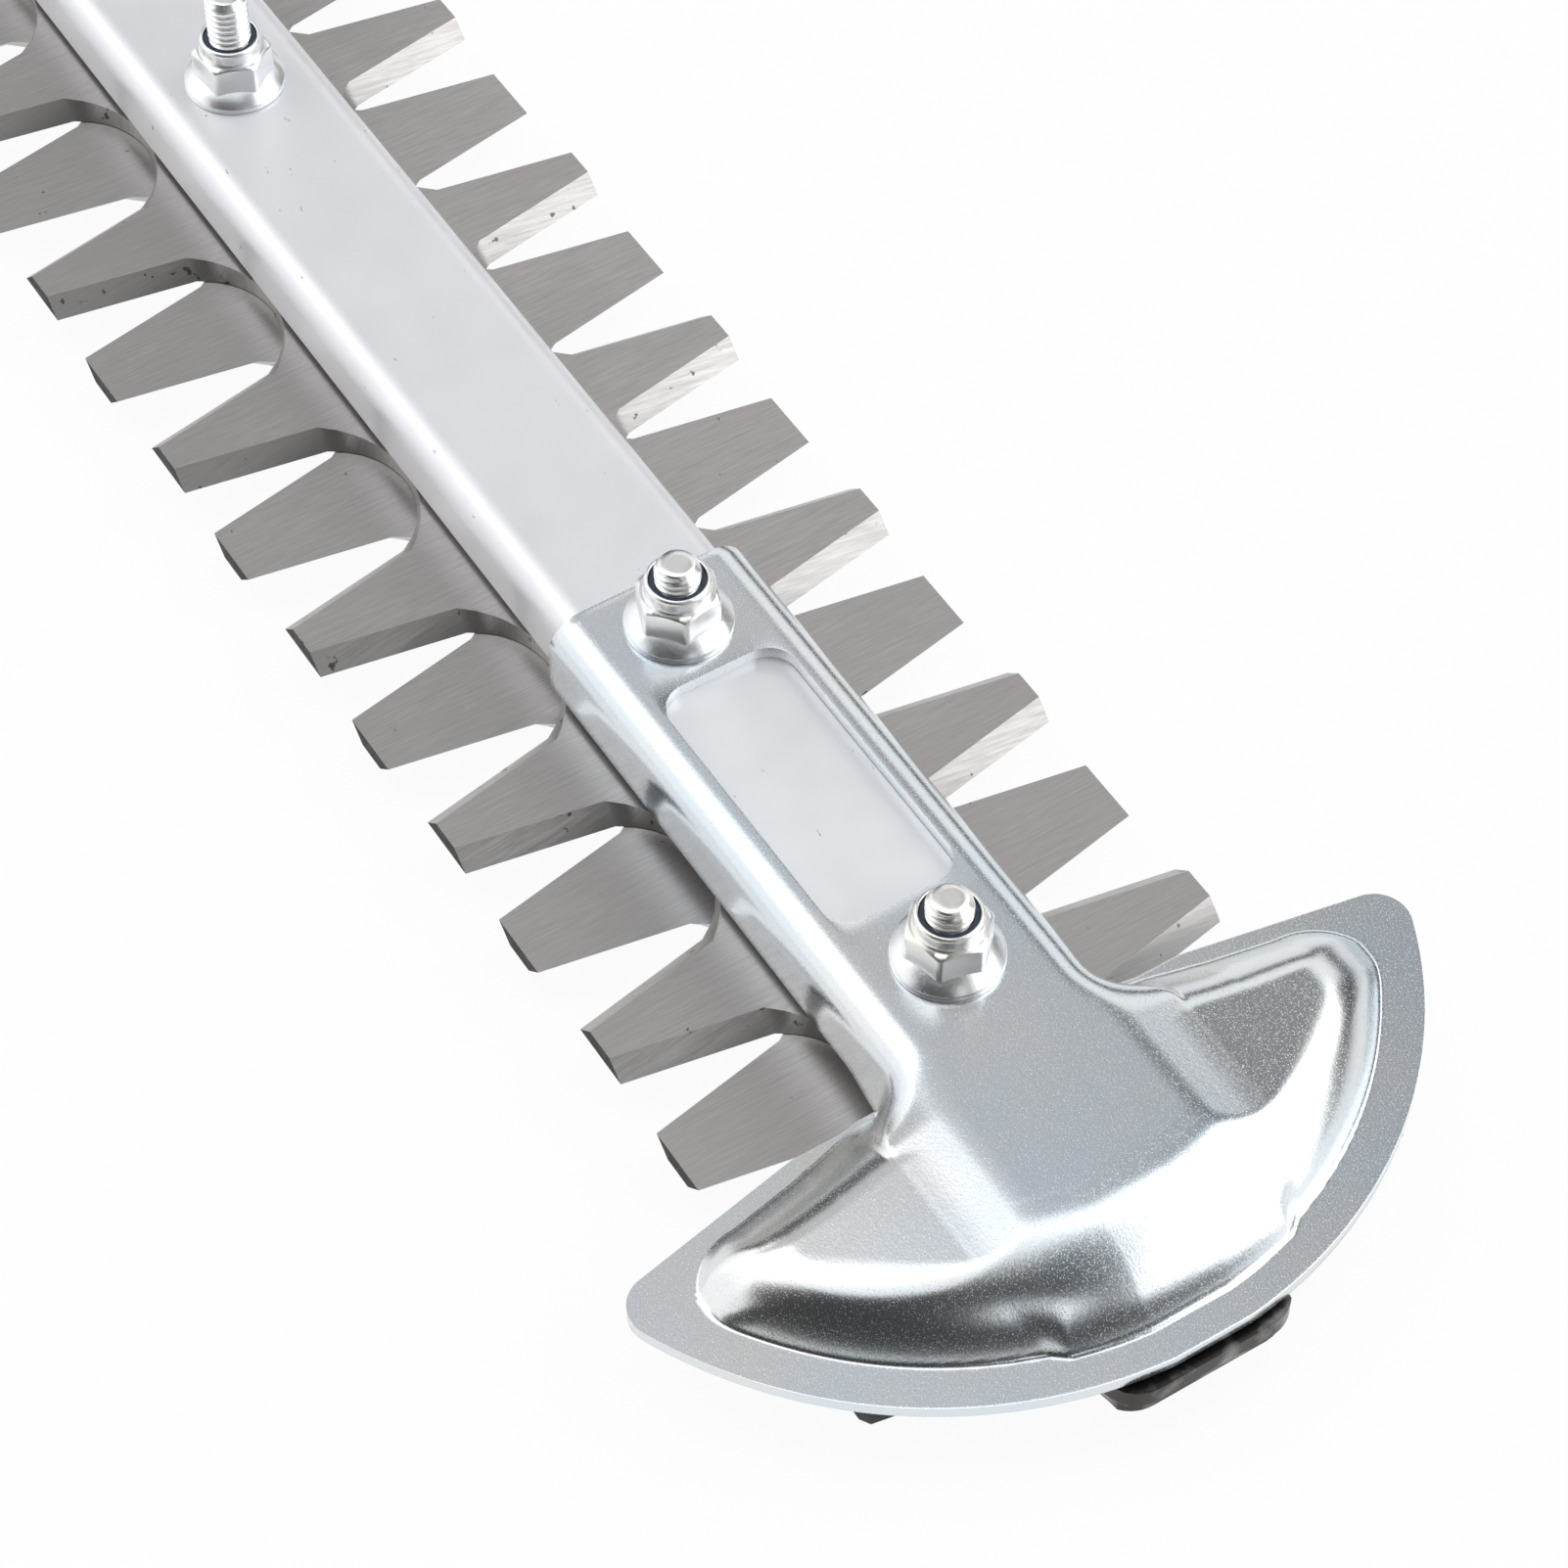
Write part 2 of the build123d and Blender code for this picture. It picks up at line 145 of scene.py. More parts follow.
def add_node(material, kind, settings=(), **inputs):
    """A node of that kind; an input is a value, or the output socket of another node."""
    node = material.node_tree.nodes.new("ShaderNode" + kind)
    for key, value in dict(settings).items():
        setattr(node, key, value)
    for key, value in inputs.items():
        name = key.replace("_", " ")
        socket = node.inputs[int(name[1:])] if name[1:].isdigit() else node.inputs[name]
        if isinstance(value, bpy.types.NodeSocket):
            material.node_tree.links.new(value, socket)
        else:
            socket.default_value = value
    return node


def noise(material, scale, detail=3.0, stretch=(1, 1, 1), turn=0.0, roughness=0.5):
    """Noise on Object coordinates, in cells per metre, stretched and turned about Z."""
    place = add_node(material, "TexCoord")
    laid = add_node(material, "Mapping", Vector=place.outputs["Object"], Scale=stretch)
    laid.inputs["Rotation"].default_value = (0, 0, radians(turn))
    return add_node(
        material, "TexNoise", Vector=laid.outputs["Vector"], Scale=scale, Detail=detail,
        Roughness=roughness,
    ).outputs["Fac"]


def ramp(material, source, stops):
    """Colour or value ramp through (place, colour or number) stops."""
    node = add_node(material, "ValToRGB", Fac=source)
    band = node.color_ramp
    while len(band.elements) < len(stops):
        band.elements.new(0.5)
    for element, (place, colour) in zip(band.elements, stops):
        grey = colour if isinstance(colour, tuple) else (colour, colour, colour, 1)
        element.position = place
        element.color = grey
    return node.outputs["Color"]


def mixed(material, share, one, two, blend="MIX"):
    """Mix of two colours by a share from 0 to 1."""
    node = add_node(material, "Mix", {"data_type": "RGBA", "blend_type": blend})
    for socket, value in ((node.inputs[0], share), (node.inputs[6], one), (node.inputs[7], two)):
        if isinstance(value, bpy.types.NodeSocket):
            material.node_tree.links.new(value, socket)
        else:
            socket.default_value = value
    return node.outputs[2]


def wire(material, output, socket):
    """Link of one output to one input socket."""
    material.node_tree.links.new(output, socket)


def bumped(material, shader, height, strength, distance, under=None):
    """Bump of the surface by a height, in metres of distance; bumps can be stacked."""
    bump = add_node(material, "Bump", Height=height, Strength=strength, Distance=distance)
    if under is not None:
        wire(material, under, bump.inputs["Normal"])
    wire(material, bump.outputs["Normal"], shader.inputs["Normal"])
    return bump.outputs["Normal"]


def satin_aluminium():
    """Blasted aluminium: fine grain, an even tone and a few small dark scuffs."""
    material, shader = new_material("satin_aluminium", ALUMINIUM, 0.8, 0.46)
    cloud = ramp(material, noise(material, 45, 4), [(0.3, ALUMINIUM_DARK), (0.65, ALUMINIUM)])
    scuff = ramp(material, noise(material, 420, 6, (1, 2.2, 1), 24), [(0.72, 0.0), (0.77, 0.75)])
    wire(material, mixed(material, scuff, cloud, (0.12, 0.12, 0.125, 1)), shader.inputs["Base Color"])
    rough = ramp(material, noise(material, 160, 5), [(0.3, 0.43), (0.7, 0.5)])
    wire(material, rough, shader.inputs["Roughness"])
    grain = bumped(material, shader, noise(material, 5200, 2), 0.2, 0.00003)
    bumped(material, shader, scuff, 0.3, 0.00005, grain)
    return material


def bar_profile():
    """Half cross cut of the bar, as (y, z) points: from the land's foot up the straight side and round
    the quarter arc at the top edge; the flat top beyond it is left open."""
    arc = np.linspace(0, np.pi / 2, 13)
    land_top = BAR_BOTTOM + BAR_LAND_H
    side = BAR_TOP - BAR_EDGE_R
    foot = [(BAR_LAND_HALF, BAR_BOTTOM), (BAR_LAND_HALF, land_top), (BAR_HALF, land_top)]
    turn_y = BAR_HALF - BAR_EDGE_R + BAR_EDGE_R * np.cos(arc)
    turn_z = side + BAR_EDGE_R * np.sin(arc)
    return np.concatenate([np.array(foot), np.stack([turn_y, turn_z], axis=-1)])


def bar_body():
    """The profile carried straight along the bar. The flat top is a row of plain strips, with a
    ring from each gear case hole's circle out to a square between them. A hole's wall goes down by
    shares of its depth, at shares of its radius."""
    low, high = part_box("guide_bar")
    rear = (low[0] - ORIGIN[0]) / MM
    front = (high[0] - ORIGIN[0]) / MM
    flat = BAR_HALF - BAR_EDGE_R
    around = np.arange(HOLE_STEPS) * np.pi / (HOLE_STEPS // 2)
    circle = np.stack([np.cos(around), np.sin(around)], axis=-1)
    square = circle / np.abs(circle).max(axis=1, keepdims=True)
    on_side = np.unique(np.round(square[np.abs(square[:, 1]) > 0.999, 0], 9))
    stations = [rear, front] + [x + flat * s for x in GEARBOX_HOLES for s in on_side]
    stations = np.unique(np.round(stations, 6))
    profile = bar_profile()
    patches = []
    for side in (1, -1):
        x, y = np.meshgrid(stations, side * profile[:, 0], indexing="ij")
        z = np.broadcast_to(profile[:, 1], x.shape)
        patches.append((np.stack([x, y, z], -1).reshape(-1, 3), grid_quads(*x.shape)))
    edges = [rear] + [x + s * flat for x in GEARBOX_HOLES for s in (-1, 1)] + [front]
    for a, b in zip(edges[0::2], edges[1::2]):
        inside = stations[(stations >= a - 1e-6) & (stations <= b + 1e-6)]
        x, y = np.meshgrid(inside, [-flat, flat], indexing="ij")
        patches.append((np.stack([x, y, x * 0 + BAR_TOP], -1).reshape(-1, 3), grid_quads(*x.shape)))
    x, y = np.meshgrid(stations, [-BAR_LAND_HALF, BAR_LAND_HALF], indexing="ij")
    patches.append((np.stack([x, y, x * 0 + BAR_BOTTOM], -1).reshape(-1, 3), grid_quads(*x.shape)))
    share = np.linspace(0, 1, RING_STEPS)[:, None, None]
    ring = hole_ring(circle * GEARBOX_HOLE_R, square * flat, share)
    wall_share = np.array(HOLE_WALL)
    depth = BAR_TOP - GEARBOX_HOLE_DEPTH * wall_share[:, 0]
    inner = GEARBOX_HOLE_R * wall_share[:, 1]
    for hole in GEARBOX_HOLES:
        top = np.concatenate([ring + (hole, 0), np.full(ring.shape[:2] + (1,), BAR_TOP)], -1)
        patches.append((top.reshape(-1, 3), grid_quads(RING_STEPS, HOLE_STEPS, True)))
        wall = circle[None] * inner[:, None, None] + (hole, 0)
        down = np.broadcast_to(depth[:, None, None], wall.shape[:2] + (1,))
        wall = np.concatenate([wall, down], -1)
        patches.append((wall.reshape(-1, 3), grid_quads(len(depth), HOLE_STEPS, True)))
    outline = np.concatenate([profile, profile[::-1] * (-1, 1)])
    for x in (rear, front):
        cap = np.column_stack([np.full(len(outline), x), outline])
        patches.append((cap, [list(range(len(outline)))]))
    return joined(patches)


def hole_ring(inner, outer, share):
    """Ring between two outlines of equal count: each point goes straight from one to the other."""
    return inner[None] * (1 - share) + outer[None] * share


bar_points, bar_faces = bar_body()
make_piece(
    "guide_bar_body", bar_points, bar_faces, [satin_aluminium()], "frame",
    ["guide_bar"],
)

# Cutting blades
# Two equal blades punched from tempered strip steel, ground flat and bevelled along every tooth.
# The upper one has its bevels up, the lower one is turned over, and they slide on each other.
PITCH = 37.6
TEETH = 11
TIP_HALF = 37.7
TOOTH_TIP = 9.6
TOOTH_FOOT = 16.8
FOOT_LINE = 18.0
ROOT_LINE = 11.75
BEVEL = 2.5
FRONT_TOOTH = 18.6
BLADE_T = 2.5
SPINE_HALF = 13.0
BLADE_NOSE = 56.3
NOSE_R = 5.0
EYE_X = -455.0
EYE_LENGTH = 34.0
EYE_WIDTH = 46.0
EYE_CORNER = 12.0
EYE_SLOT = (7.0, 8.0)
BOLT_X = (0.0, -61.35, -180.35, -299.35)
SLOT_R = 4.8
SLOT_REACH = 9.85
REST_SHIFT = 0.45
LOWER_BOTTOM = -5.1
ROOT_STEPS = 15
FLAT_LEVEL = 0.9
TOOTH_END_DEPTH = 0.1
BLADE_EDGE = 0.3
STEEL = (0.53, 0.512, 0.502, 1.0)
STEEL_DARK = (0.372, 0.358, 0.35, 1.0)
BEVEL_STEEL = (0.56, 0.545, 0.535, 1.0)
BEVEL_DARK = (0.38, 0.37, 0.362, 1.0)
# Painted highlight: near-white steel for the narrow edge roundings, so every sharp edge shows a bright
# glint line.
EDGE_GLINT_PAINT = (0.97, 0.97, 0.97, 1.0)
EDGE_GLINT_PAINT_DARK = (0.80, 0.80, 0.80, 1.0)
PUNCHED_STEEL = (0.11, 0.107, 0.105, 1.0)
PUNCHED_DARK = (0.06, 0.058, 0.057, 1.0)
# Dark tone that the blades turn to in patches towards their noses, between the two distances below.
NOSE_DARK_TONE = (0.045, 0.042, 0.04, 1.0)
NOSE_DARK_START = 49.0
NOSE_DARK_FULL = 53.5


def root_arc(widening):
    """Half width of a gap at its feet, and the radius of the arc through both feet and the root."""
    foot = (PITCH - TOOTH_FOOT) / 2 + widening
    rise = FOOT_LINE - ROOT_LINE
    return foot, (foot ** 2 + rise ** 2) / (2 * rise)


def root_curve(gap, start, end, widening):
    """Round bottom of a gap: its arc from one share of the gap's half width to another, as
    (along, out) points."""
    foot, radius = root_arc(widening)
    along = foot * np.linspace(start, end, ROOT_STEPS)
    out = ROOT_LINE + radius - np.sqrt(radius ** 2 - along ** 2)
    return np.stack([gap + along, out], axis=-1)


def spine_share(widening):
    """Share of a gap's half width at which its root arc crosses the plain edge of the spine."""
    foot, radius = root_arc(widening)
    return np.sqrt(radius ** 2 - (radius - SPINE_HALF + ROOT_LINE) ** 2) / foot


def toothed_edge(front_tooth, widening):
    """One long edge of a blade from the eye to the nose, as (along, out) points: spine, then gap
    and tooth by turns, then spine and the nose's round corner."""
    tip = TOOTH_TIP / 2 - widening
    crossing = spine_share(widening)
    reach = np.sqrt(EYE_CORNER ** 2 - (SPINE_HALF - EYE_WIDTH / 2 + EYE_CORNER) ** 2)
    parts = [np.array([[EYE_X + EYE_LENGTH / 2 - EYE_CORNER + reach, SPINE_HALF]])]
    centres = front_tooth - PITCH * np.arange(TEETH)[::-1]
    gap = centres[0] - PITCH / 2
    parts.append(root_curve(gap, -crossing, 1, widening))
    for centre in centres:
        parts.append(np.array([[centre - tip, TIP_HALF], [centre + tip, TIP_HALF]]))
        last = 1.0 if centre < centres[-1] else front_end_share(centre + PITCH / 2, widening)
        parts.append(root_curve(centre + PITCH / 2, -1, last, widening))
    corner = np.array([BLADE_NOSE - NOSE_R, SPINE_HALF - NOSE_R])
    leave = parts[-1][-1] - corner
    start = min(np.pi / 2, np.arctan2(leave[1], leave[0]))
    turn = np.linspace(start, 0, 8)
    parts.append(corner + NOSE_R * np.stack([np.cos(turn), np.sin(turn)], axis=-1))
    return np.concatenate(parts)


def front_end_share(gap, widening):
    """Where the front gap's arc leaves the blade: at the plain spine edge, or where it meets the
    nose's round corner if that comes first."""
    shares = np.linspace(-1, spine_share(widening), 4001)
    foot, radius = root_arc(widening)
    x = gap + foot * shares
    y = ROOT_LINE + radius - np.sqrt(radius ** 2 - (foot * shares) ** 2)
    corner_x = np.clip(x - BLADE_NOSE + NOSE_R, 0, NOSE_R)
    limit = SPINE_HALF - NOSE_R + np.sqrt(NOSE_R ** 2 - corner_x ** 2)
    beyond = (y > limit) & (x > BLADE_NOSE - NOSE_R) & (y < SPINE_HALF)
    past = np.flatnonzero(beyond[1:] & ~beyond[:-1])
    return shares[past[-1]] if len(past) and gap > BLADE_NOSE - NOSE_R else shares[-1]


def blade_loops(widening):
    """Outline of one face of a blade with its slots, all as closed loops; the widening is the
    bevel's at that face."""
    right = toothed_edge(FRONT_TOOTH + PITCH / 2, widening)
    left = toothed_edge(FRONT_TOOTH, widening)
    turn = np.linspace(0, np.pi / 2, 7)
    middle_x = EYE_X - EYE_LENGTH / 2 + EYE_CORNER
    front_x = EYE_X + EYE_LENGTH / 2 - EYE_CORNER
    side_y = EYE_WIDTH / 2 - EYE_CORNER
    first = np.arctan2(SPINE_HALF - side_y, right[0, 0] - front_x)
    front_turn = np.linspace(np.pi / 2, first, 7)[:-1]
    back = np.stack([middle_x - EYE_CORNER * np.cos(turn), side_y + EYE_CORNER * np.sin(turn)], -1)
    fore = np.stack([np.cos(front_turn), np.sin(front_turn)], -1) * EYE_CORNER + (front_x, side_y)
    upper = np.concatenate([back, fore, right])
    lower = np.concatenate([back, fore, left]) * (1, -1)
    loops = [np.concatenate([upper, lower[::-1]])]
    half = np.linspace(-np.pi / 2, np.pi / 2, 13)
    cap = SLOT_R * np.stack([np.cos(half), np.sin(half)], axis=-1)
    for x in BOLT_X:
        slot = np.concatenate([cap + (SLOT_REACH, 0), -cap - (SLOT_REACH, 0)])
        loops.append(slot + (x, 0))
    eye_r, eye_reach = EYE_SLOT
    end = eye_r * np.stack([np.sin(-half), np.cos(half)], axis=-1)
    loops.append(np.concatenate([end + (0, eye_reach), -end - (0, eye_reach)]) + (EYE_X, 0))
    return loops


def flat_triangles(loops):
    """Triangles of the flat region inside the first loop and outside the others, by a Delaunay
    net over the loops' points that keeps the triangles whose middle lies inside."""
    points = np.concatenate(loops)
    starts = np.cumsum([0] + [len(loop) for loop in loops])
    ends = [np.roll(np.arange(a, b), -1) for a, b in zip(starts[:-1], starts[1:])]
    edges = np.stack([np.arange(len(points)), np.concatenate(ends)], axis=-1)
    net = delaunay_2d_cdt([Vector(p) for p in points.tolist()], edges.tolist(), [], 0, 1e-7)
    first = np.array([names[0] for names in net[3]])
    triangles = first[np.array(net[2])]
    middle = points[triangles].mean(axis=1)
    a, b = points[edges[:, 0]], points[edges[:, 1]]
    spans = (a[None, :, 1] > middle[:, None, 1]) != (b[None, :, 1] > middle[:, None, 1])
    rise = np.where(a[:, 1] == b[:, 1], 1.0, b[:, 1] - a[:, 1])
    at = a[None, :, 0] + (middle[:, None, 1] - a[None, :, 1]) / rise * (b - a)[None, :, 0]
    inside = (spans & (at > middle[:, None, 0])).sum(axis=1) % 2 == 1
    return triangles[inside]


def blade_mesh():
    """Flat top and cutting face with the bevelled flanks ruled straight between their outlines."""
    top = blade_loops(BEVEL)
    edge = blade_loops(0.0)
    count = sum(len(loop) for loop in top)
    points = np.zeros((2 * count, 3))
    points[:count, :2] = np.concatenate(top)
    points[count:, :2] = np.concatenate(edge)
    points[count:, 2] = -BLADE_T
    above = flat_triangles(top)
    below = flat_triangles(edge)[:, ::-1] + count
    walls = []
    start = 0
    for loop in top:
        here = start + np.arange(len(loop))
        after = np.roll(here, -1)
        walls.append(np.stack([here, after, after + count, here + count], axis=-1))
        start += len(loop)
    walls = np.concatenate(walls)
    faces = above.tolist() + below.tolist() + walls.tolist()
    return points, faces


def steel_kinds(mesh):
    """Material of each face: 0 on the flats, 2 on the upright ends of the teeth, 1 elsewhere."""
    facing = np.zeros(3 * len(mesh.polygons), np.float32)
    middle = np.zeros(3 * len(mesh.polygons), np.float32)
    mesh.polygons.foreach_get("normal", facing)
    mesh.polygons.foreach_get("center", middle)
    level = np.abs(facing[2::3])
    tooth_end = np.abs(middle[1::3]) > (TIP_HALF - TOOTH_END_DEPTH) * MM
    return np.where(level > FLAT_LEVEL, 0, np.where(tooth_end, 2, 1)).astype(np.int32)


def ground_steel(name, tone, dark, turn, rough, sparkle, spotted):
    """Ground steel: fine lines in one direction, a cloudy tone and small dark spots above a value of a
    noise; towards the blades' noses it turns darker in patches."""
    material, shader = new_material(name, tone, 0.9, rough)
    lines = noise(material, 420, 8, (9, 0.3, 1), turn, 0.75)
    cloud = noise(material, 38, 4)
    shade = ramp(material, lines, [(0.3, dark), (0.66, tone)])
    shade = mixed(material, ramp(material, cloud, [(0.45, 0.0), (0.8, 0.5)]), shade, dark)
    spots = ramp(material, noise(material, 520, 5), [(spotted, 0.0), (spotted + 0.03, 0.8)])
    shade = mixed(material, spots, shade, (0.05, 0.05, 0.05, 1))
    place = add_node(material, "TexCoord")
    along = add_node(material, "SeparateXYZ", Vector=place.outputs["Object"])
    near = add_node(material, "MapRange", {"interpolation_type": "SMOOTHSTEP"}, Value=along.outputs["X"])
    near.inputs["From Min"].default_value = ORIGIN[0] + NOSE_DARK_START * MM
    near.inputs["From Max"].default_value = ORIGIN[0] + NOSE_DARK_FULL * MM
    patchy = ramp(material, noise(material, 260, 5), [(0.25, 0.35), (0.5, 1.0)])
    # Patches of the dark tone, growing towards the noses.
    nose_dark = add_node(material, "Math", {"operation": "MULTIPLY"}, _0=near.outputs["Result"], _1=patchy)
    shade = mixed(material, nose_dark.outputs[0], shade, NOSE_DARK_TONE)
    wire(material, shade, shader.inputs["Base Color"])
    gloss = ramp(material, lines, [(0.3, rough + 0.08), (0.7, rough - sparkle)])
    wire(material, gloss, shader.inputs["Roughness"])
    shader.inputs["Anisotropic"].default_value = 0.4
    bumped(material, shader, lines, 0.2, 0.00002)
    return material


def oxide_steel():
    """Dull dark oxide left on the teeth's punched ends, lighter in streaks."""
    material, shader = new_material("oxide_steel", PUNCHED_STEEL, 0.0, 0.7)
    streaks = ramp(material, noise(material, 700, 5), [(0.3, PUNCHED_DARK), (0.7, PUNCHED_STEEL)])
    wire(material, streaks, shader.inputs["Base Color"])
    shader.inputs["Specular IOR Level"].default_value = 0.1
    return material


blade_points, blade_faces = blade_mesh()
steel_flat = ground_steel("ground_steel", STEEL, STEEL_DARK, 8, 0.36, 0.06, 0.72)
steel_bevel = ground_steel("bevel_steel", BEVEL_STEEL, BEVEL_DARK, 62, 0.34, 0.06, 0.66)
steel_punched = oxide_steel()
# Painted highlight: the near-white steel that the edge roundings take, a glint painted into their
# colour.
steel_edge_painted_glint = ground_steel("edge_painted_glint_steel", EDGE_GLINT_PAINT, EDGE_GLINT_PAINT_DARK, 62, 0.34, 0.06, 0.66)
blade_steels = [steel_flat, steel_bevel, steel_punched, steel_edge_painted_glint]
turned_over = blade_points * (1, -1, -1) + (0, 0, LOWER_BOTTOM)
for label, shape, shift in (("upper", blade_points, REST_SHIFT), ("lower", turned_over, -REST_SHIFT)):
    blade = make_piece(
        f"{label}_toothed_blade", shape + (shift, 0, 0), blade_faces, blade_steels, label,
        [f"{label}_blade"], sharp=25,
    )
    blade.data.polygons.foreach_set("material_index", steel_kinds(blade.data))
    # Narrow roundings on the sharp edges, given the near-white steel: a painted glint along every edge.
    rounded_edges(blade, BLADE_EDGE, 1, 60, True)
    blade.modifiers["edges"].material = 3

# Slide collars and washers
# Turned steel sleeves on the bolts that the blades' slots run along, and plate washers below.
# They are clamped between the guide bar and the bolt heads, so the blades keep a little play.
WASHER_R = 8.0
WASHER_BORE = 3.2
WASHER_TOP = -5.2
WASHER_T = 1.2
COLLAR_R = 4.5
COLLAR_TOP = 0.1
EDGE = 0.18
TURNED_STEEL = (0.5, 0.5, 0.5, 1)
TURNED_DARK = (0.36, 0.36, 0.36, 1)


def turned(path, columns=64):
    """Surface of revolution: (radius, height) points of a closed path turned about the Z axis."""
    path = np.asarray(path, float)
    angle = np.linspace(0, 2 * np.pi, columns, endpoint=False)
    x = path[:, :1] * np.cos(angle)
    y = path[:, :1] * np.sin(angle)
    z = np.broadcast_to(path[:, 1:], x.shape)
    return np.stack([x, y, z], axis=-1).reshape(-1, 3), grid_quads(len(path), columns, True)


def ring_path(inner, outer, low, high, edge):
    """Cross cut of a ring with narrow bevels on its outer edges, closed at its bore."""
    return [
        (inner, low), (outer - edge, low), (outer, low + edge), (outer, high - edge),
        (outer - edge, high), (inner, high), (inner, low),
    ]


def plated_zinc(name, tone, rough, peel, grit):
    """Bright zinc plating: slightly wavy and gritty, with faint blue and straw tints, specks and
    scratches."""
    material, shader = new_material(name, tone, 1.0, rough)
    cool = (tone[0] * 0.93, tone[1] * 0.985, tone[2] * 1.03, 1)
    warm = (tone[0] * 1.03, tone[1] * 1.0, tone[2] * 0.94, 1)
    shade = ramp(material, noise(material, 30, 3), [(0.35, cool), (0.52, tone), (0.68, warm)])
    scratch = ramp(material, noise(material, 330, 7, (7, 0.6, 1), 38, 0.7), [(0.68, 0.0), (0.75, 0.6)])
    cross = ramp(material, noise(material, 300, 7, (0.7, 8, 1), 12, 0.7), [(0.68, 0.0), (0.75, 0.5)])
    specks = ramp(material, noise(material, 5200, 2), [(0.6, 0.0), (0.7, 1.0)])
    marks = mixed(material, 1.0, mixed(material, 1.0, scratch, cross, "ADD"), specks, "ADD")
    wire(material, shade, shader.inputs["Base Color"])
    gloss = ramp(material, marks, [(0.0, rough), (1.0, rough + 0.2)])
    wire(material, gloss, shader.inputs["Roughness"])
    wave = bumped(material, shader, noise(material, 90, 3), peel, 0.0004)
    fine = bumped(material, shader, noise(material, 1900, 3, (1, 1.6, 1), 25), grit, 0.00008, wave)
    bumped(material, shader, marks, 0.3, 0.00002, fine)
    return material


turned_steel = ground_steel("turned_steel", TURNED_STEEL, TURNED_DARK, 0, 0.34, 0.05, 0.72)
for number, bolt_x in enumerate(BOLT_X, 1):
    washer_path = ring_path(WASHER_BORE, WASHER_R, WASHER_TOP - WASHER_T, WASHER_TOP, EDGE)
    points, faces = turned(washer_path)
    make_piece(
        f"plate_washer_{number}", points + (bolt_x, 0, 0), faces.tolist(), [turned_steel], "frame",
        [f"washer_{number}"],
    )
    collar_path = ring_path(WASHER_BORE, COLLAR_R, WASHER_TOP, COLLAR_TOP, EDGE)
    points, faces = turned(collar_path)
    make_piece(
        f"slot_collar_{number}", points + (bolt_x, 0, 0), faces.tolist(), [turned_steel], "frame",
        [f"slide_collar_{number}"],
    )

# Clamp bolts
# Zinc plated button head bolts put in from below. Each one's threaded end stands out of its lock
# nut, by a few turns on the guard and by more on the bare bar.
BOLT_R = 3.0
THREAD_PITCH = 1.0
THREAD_DEPTH = 0.5
HEAD_BOTTOM = -9.7
HEAD_SEAT = -6.4
HEAD_R = 5.25
HEAD_TOP_R = 3.0
KEY_R = 2.3
KEY_DEPTH = 2.0
POINT = 0.75
POINT_SLOPE = 0.9
THREAD_STEP = 0.07
THREAD_REACH = 2.0
FASTENER_ZINC = (0.88, 0.895, 0.90, 1.0)


def bolt_mesh(end, thread_start):
    """Turned head and shank, then a threaded end: its radius falls and rises evenly once a pitch,
    a turn later for every turn round, and is cut to a cone at the end. A six-sided key recess
    goes into the head, its wall at the distance of a hexagon's side."""
    angle = np.linspace(0, 2 * np.pi, 72, endpoint=False)
    key = KEY_R * np.cos(np.pi / 6) / np.cos((angle + np.pi / 6) % (np.pi / 3) - np.pi / 6)
    dome = np.linspace(0, np.pi / 2, 9)
    dome_r = HEAD_TOP_R + (HEAD_R - HEAD_TOP_R) * np.sin(dome)
    dome_z = HEAD_SEAT - (HEAD_SEAT - HEAD_BOTTOM) * np.cos(dome)
    rows = [(0.02 + 0 * angle, HEAD_BOTTOM + KEY_DEPTH), (key * 0.98, HEAD_BOTTOM + KEY_DEPTH)]
    rows += [(key, HEAD_BOTTOM + 0.12), (key + 0.1, HEAD_BOTTOM)]
    rows += [(r + 0 * angle, z) for r, z in zip(dome_r, dome_z)]
    rows += [(BOLT_R + 0 * angle, HEAD_SEAT), (BOLT_R + 0 * angle, thread_start - 0.3)]
    for z in np.arange(thread_start, end - 1e-6, THREAD_STEP):
        turn = (z / THREAD_PITCH - angle / (2 * np.pi)) % 1.0
        groove = THREAD_DEPTH * np.clip(1.25 - np.abs(2 * turn - 1) * 1.5, 0, 1)
        rows.append((np.minimum(BOLT_R - groove, BOLT_R - POINT + (end - z) * POINT_SLOPE), z))
    flat = BOLT_R - POINT
    rows += [(flat + 0 * angle, end), (flat * 0.55 + 0 * angle, end), (0.02 + 0 * angle, end)]
    radius = np.array([r for r, _ in rows])
    height = np.array([z for _, z in rows])[:, None] + 0 * radius
    grid = np.stack([radius * np.cos(angle), radius * np.sin(angle), height], axis=-1)
    return grid.reshape(-1, 3), grid_quads(len(rows), len(angle), True)


bright_zinc = plated_zinc("bright_zinc", FASTENER_ZINC, 0.3, 0.05, 0.1)
for number, bolt_x in enumerate(BOLT_X, 1):
    bolt_end = (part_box(f"blade_bolt_{number}")[1][2] - ORIGIN[2]) / MM
    nut_top = (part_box(f"lock_nut_{number}")[1][2] - ORIGIN[2]) / MM
    points, faces = bolt_mesh(bolt_end, nut_top - THREAD_REACH)
    make_piece(
        f"threaded_bolt_{number}", points + (bolt_x, 0, 0), faces.tolist(), [bright_zinc], "frame",
        [f"blade_bolt_{number}"], sharp=50,
    )

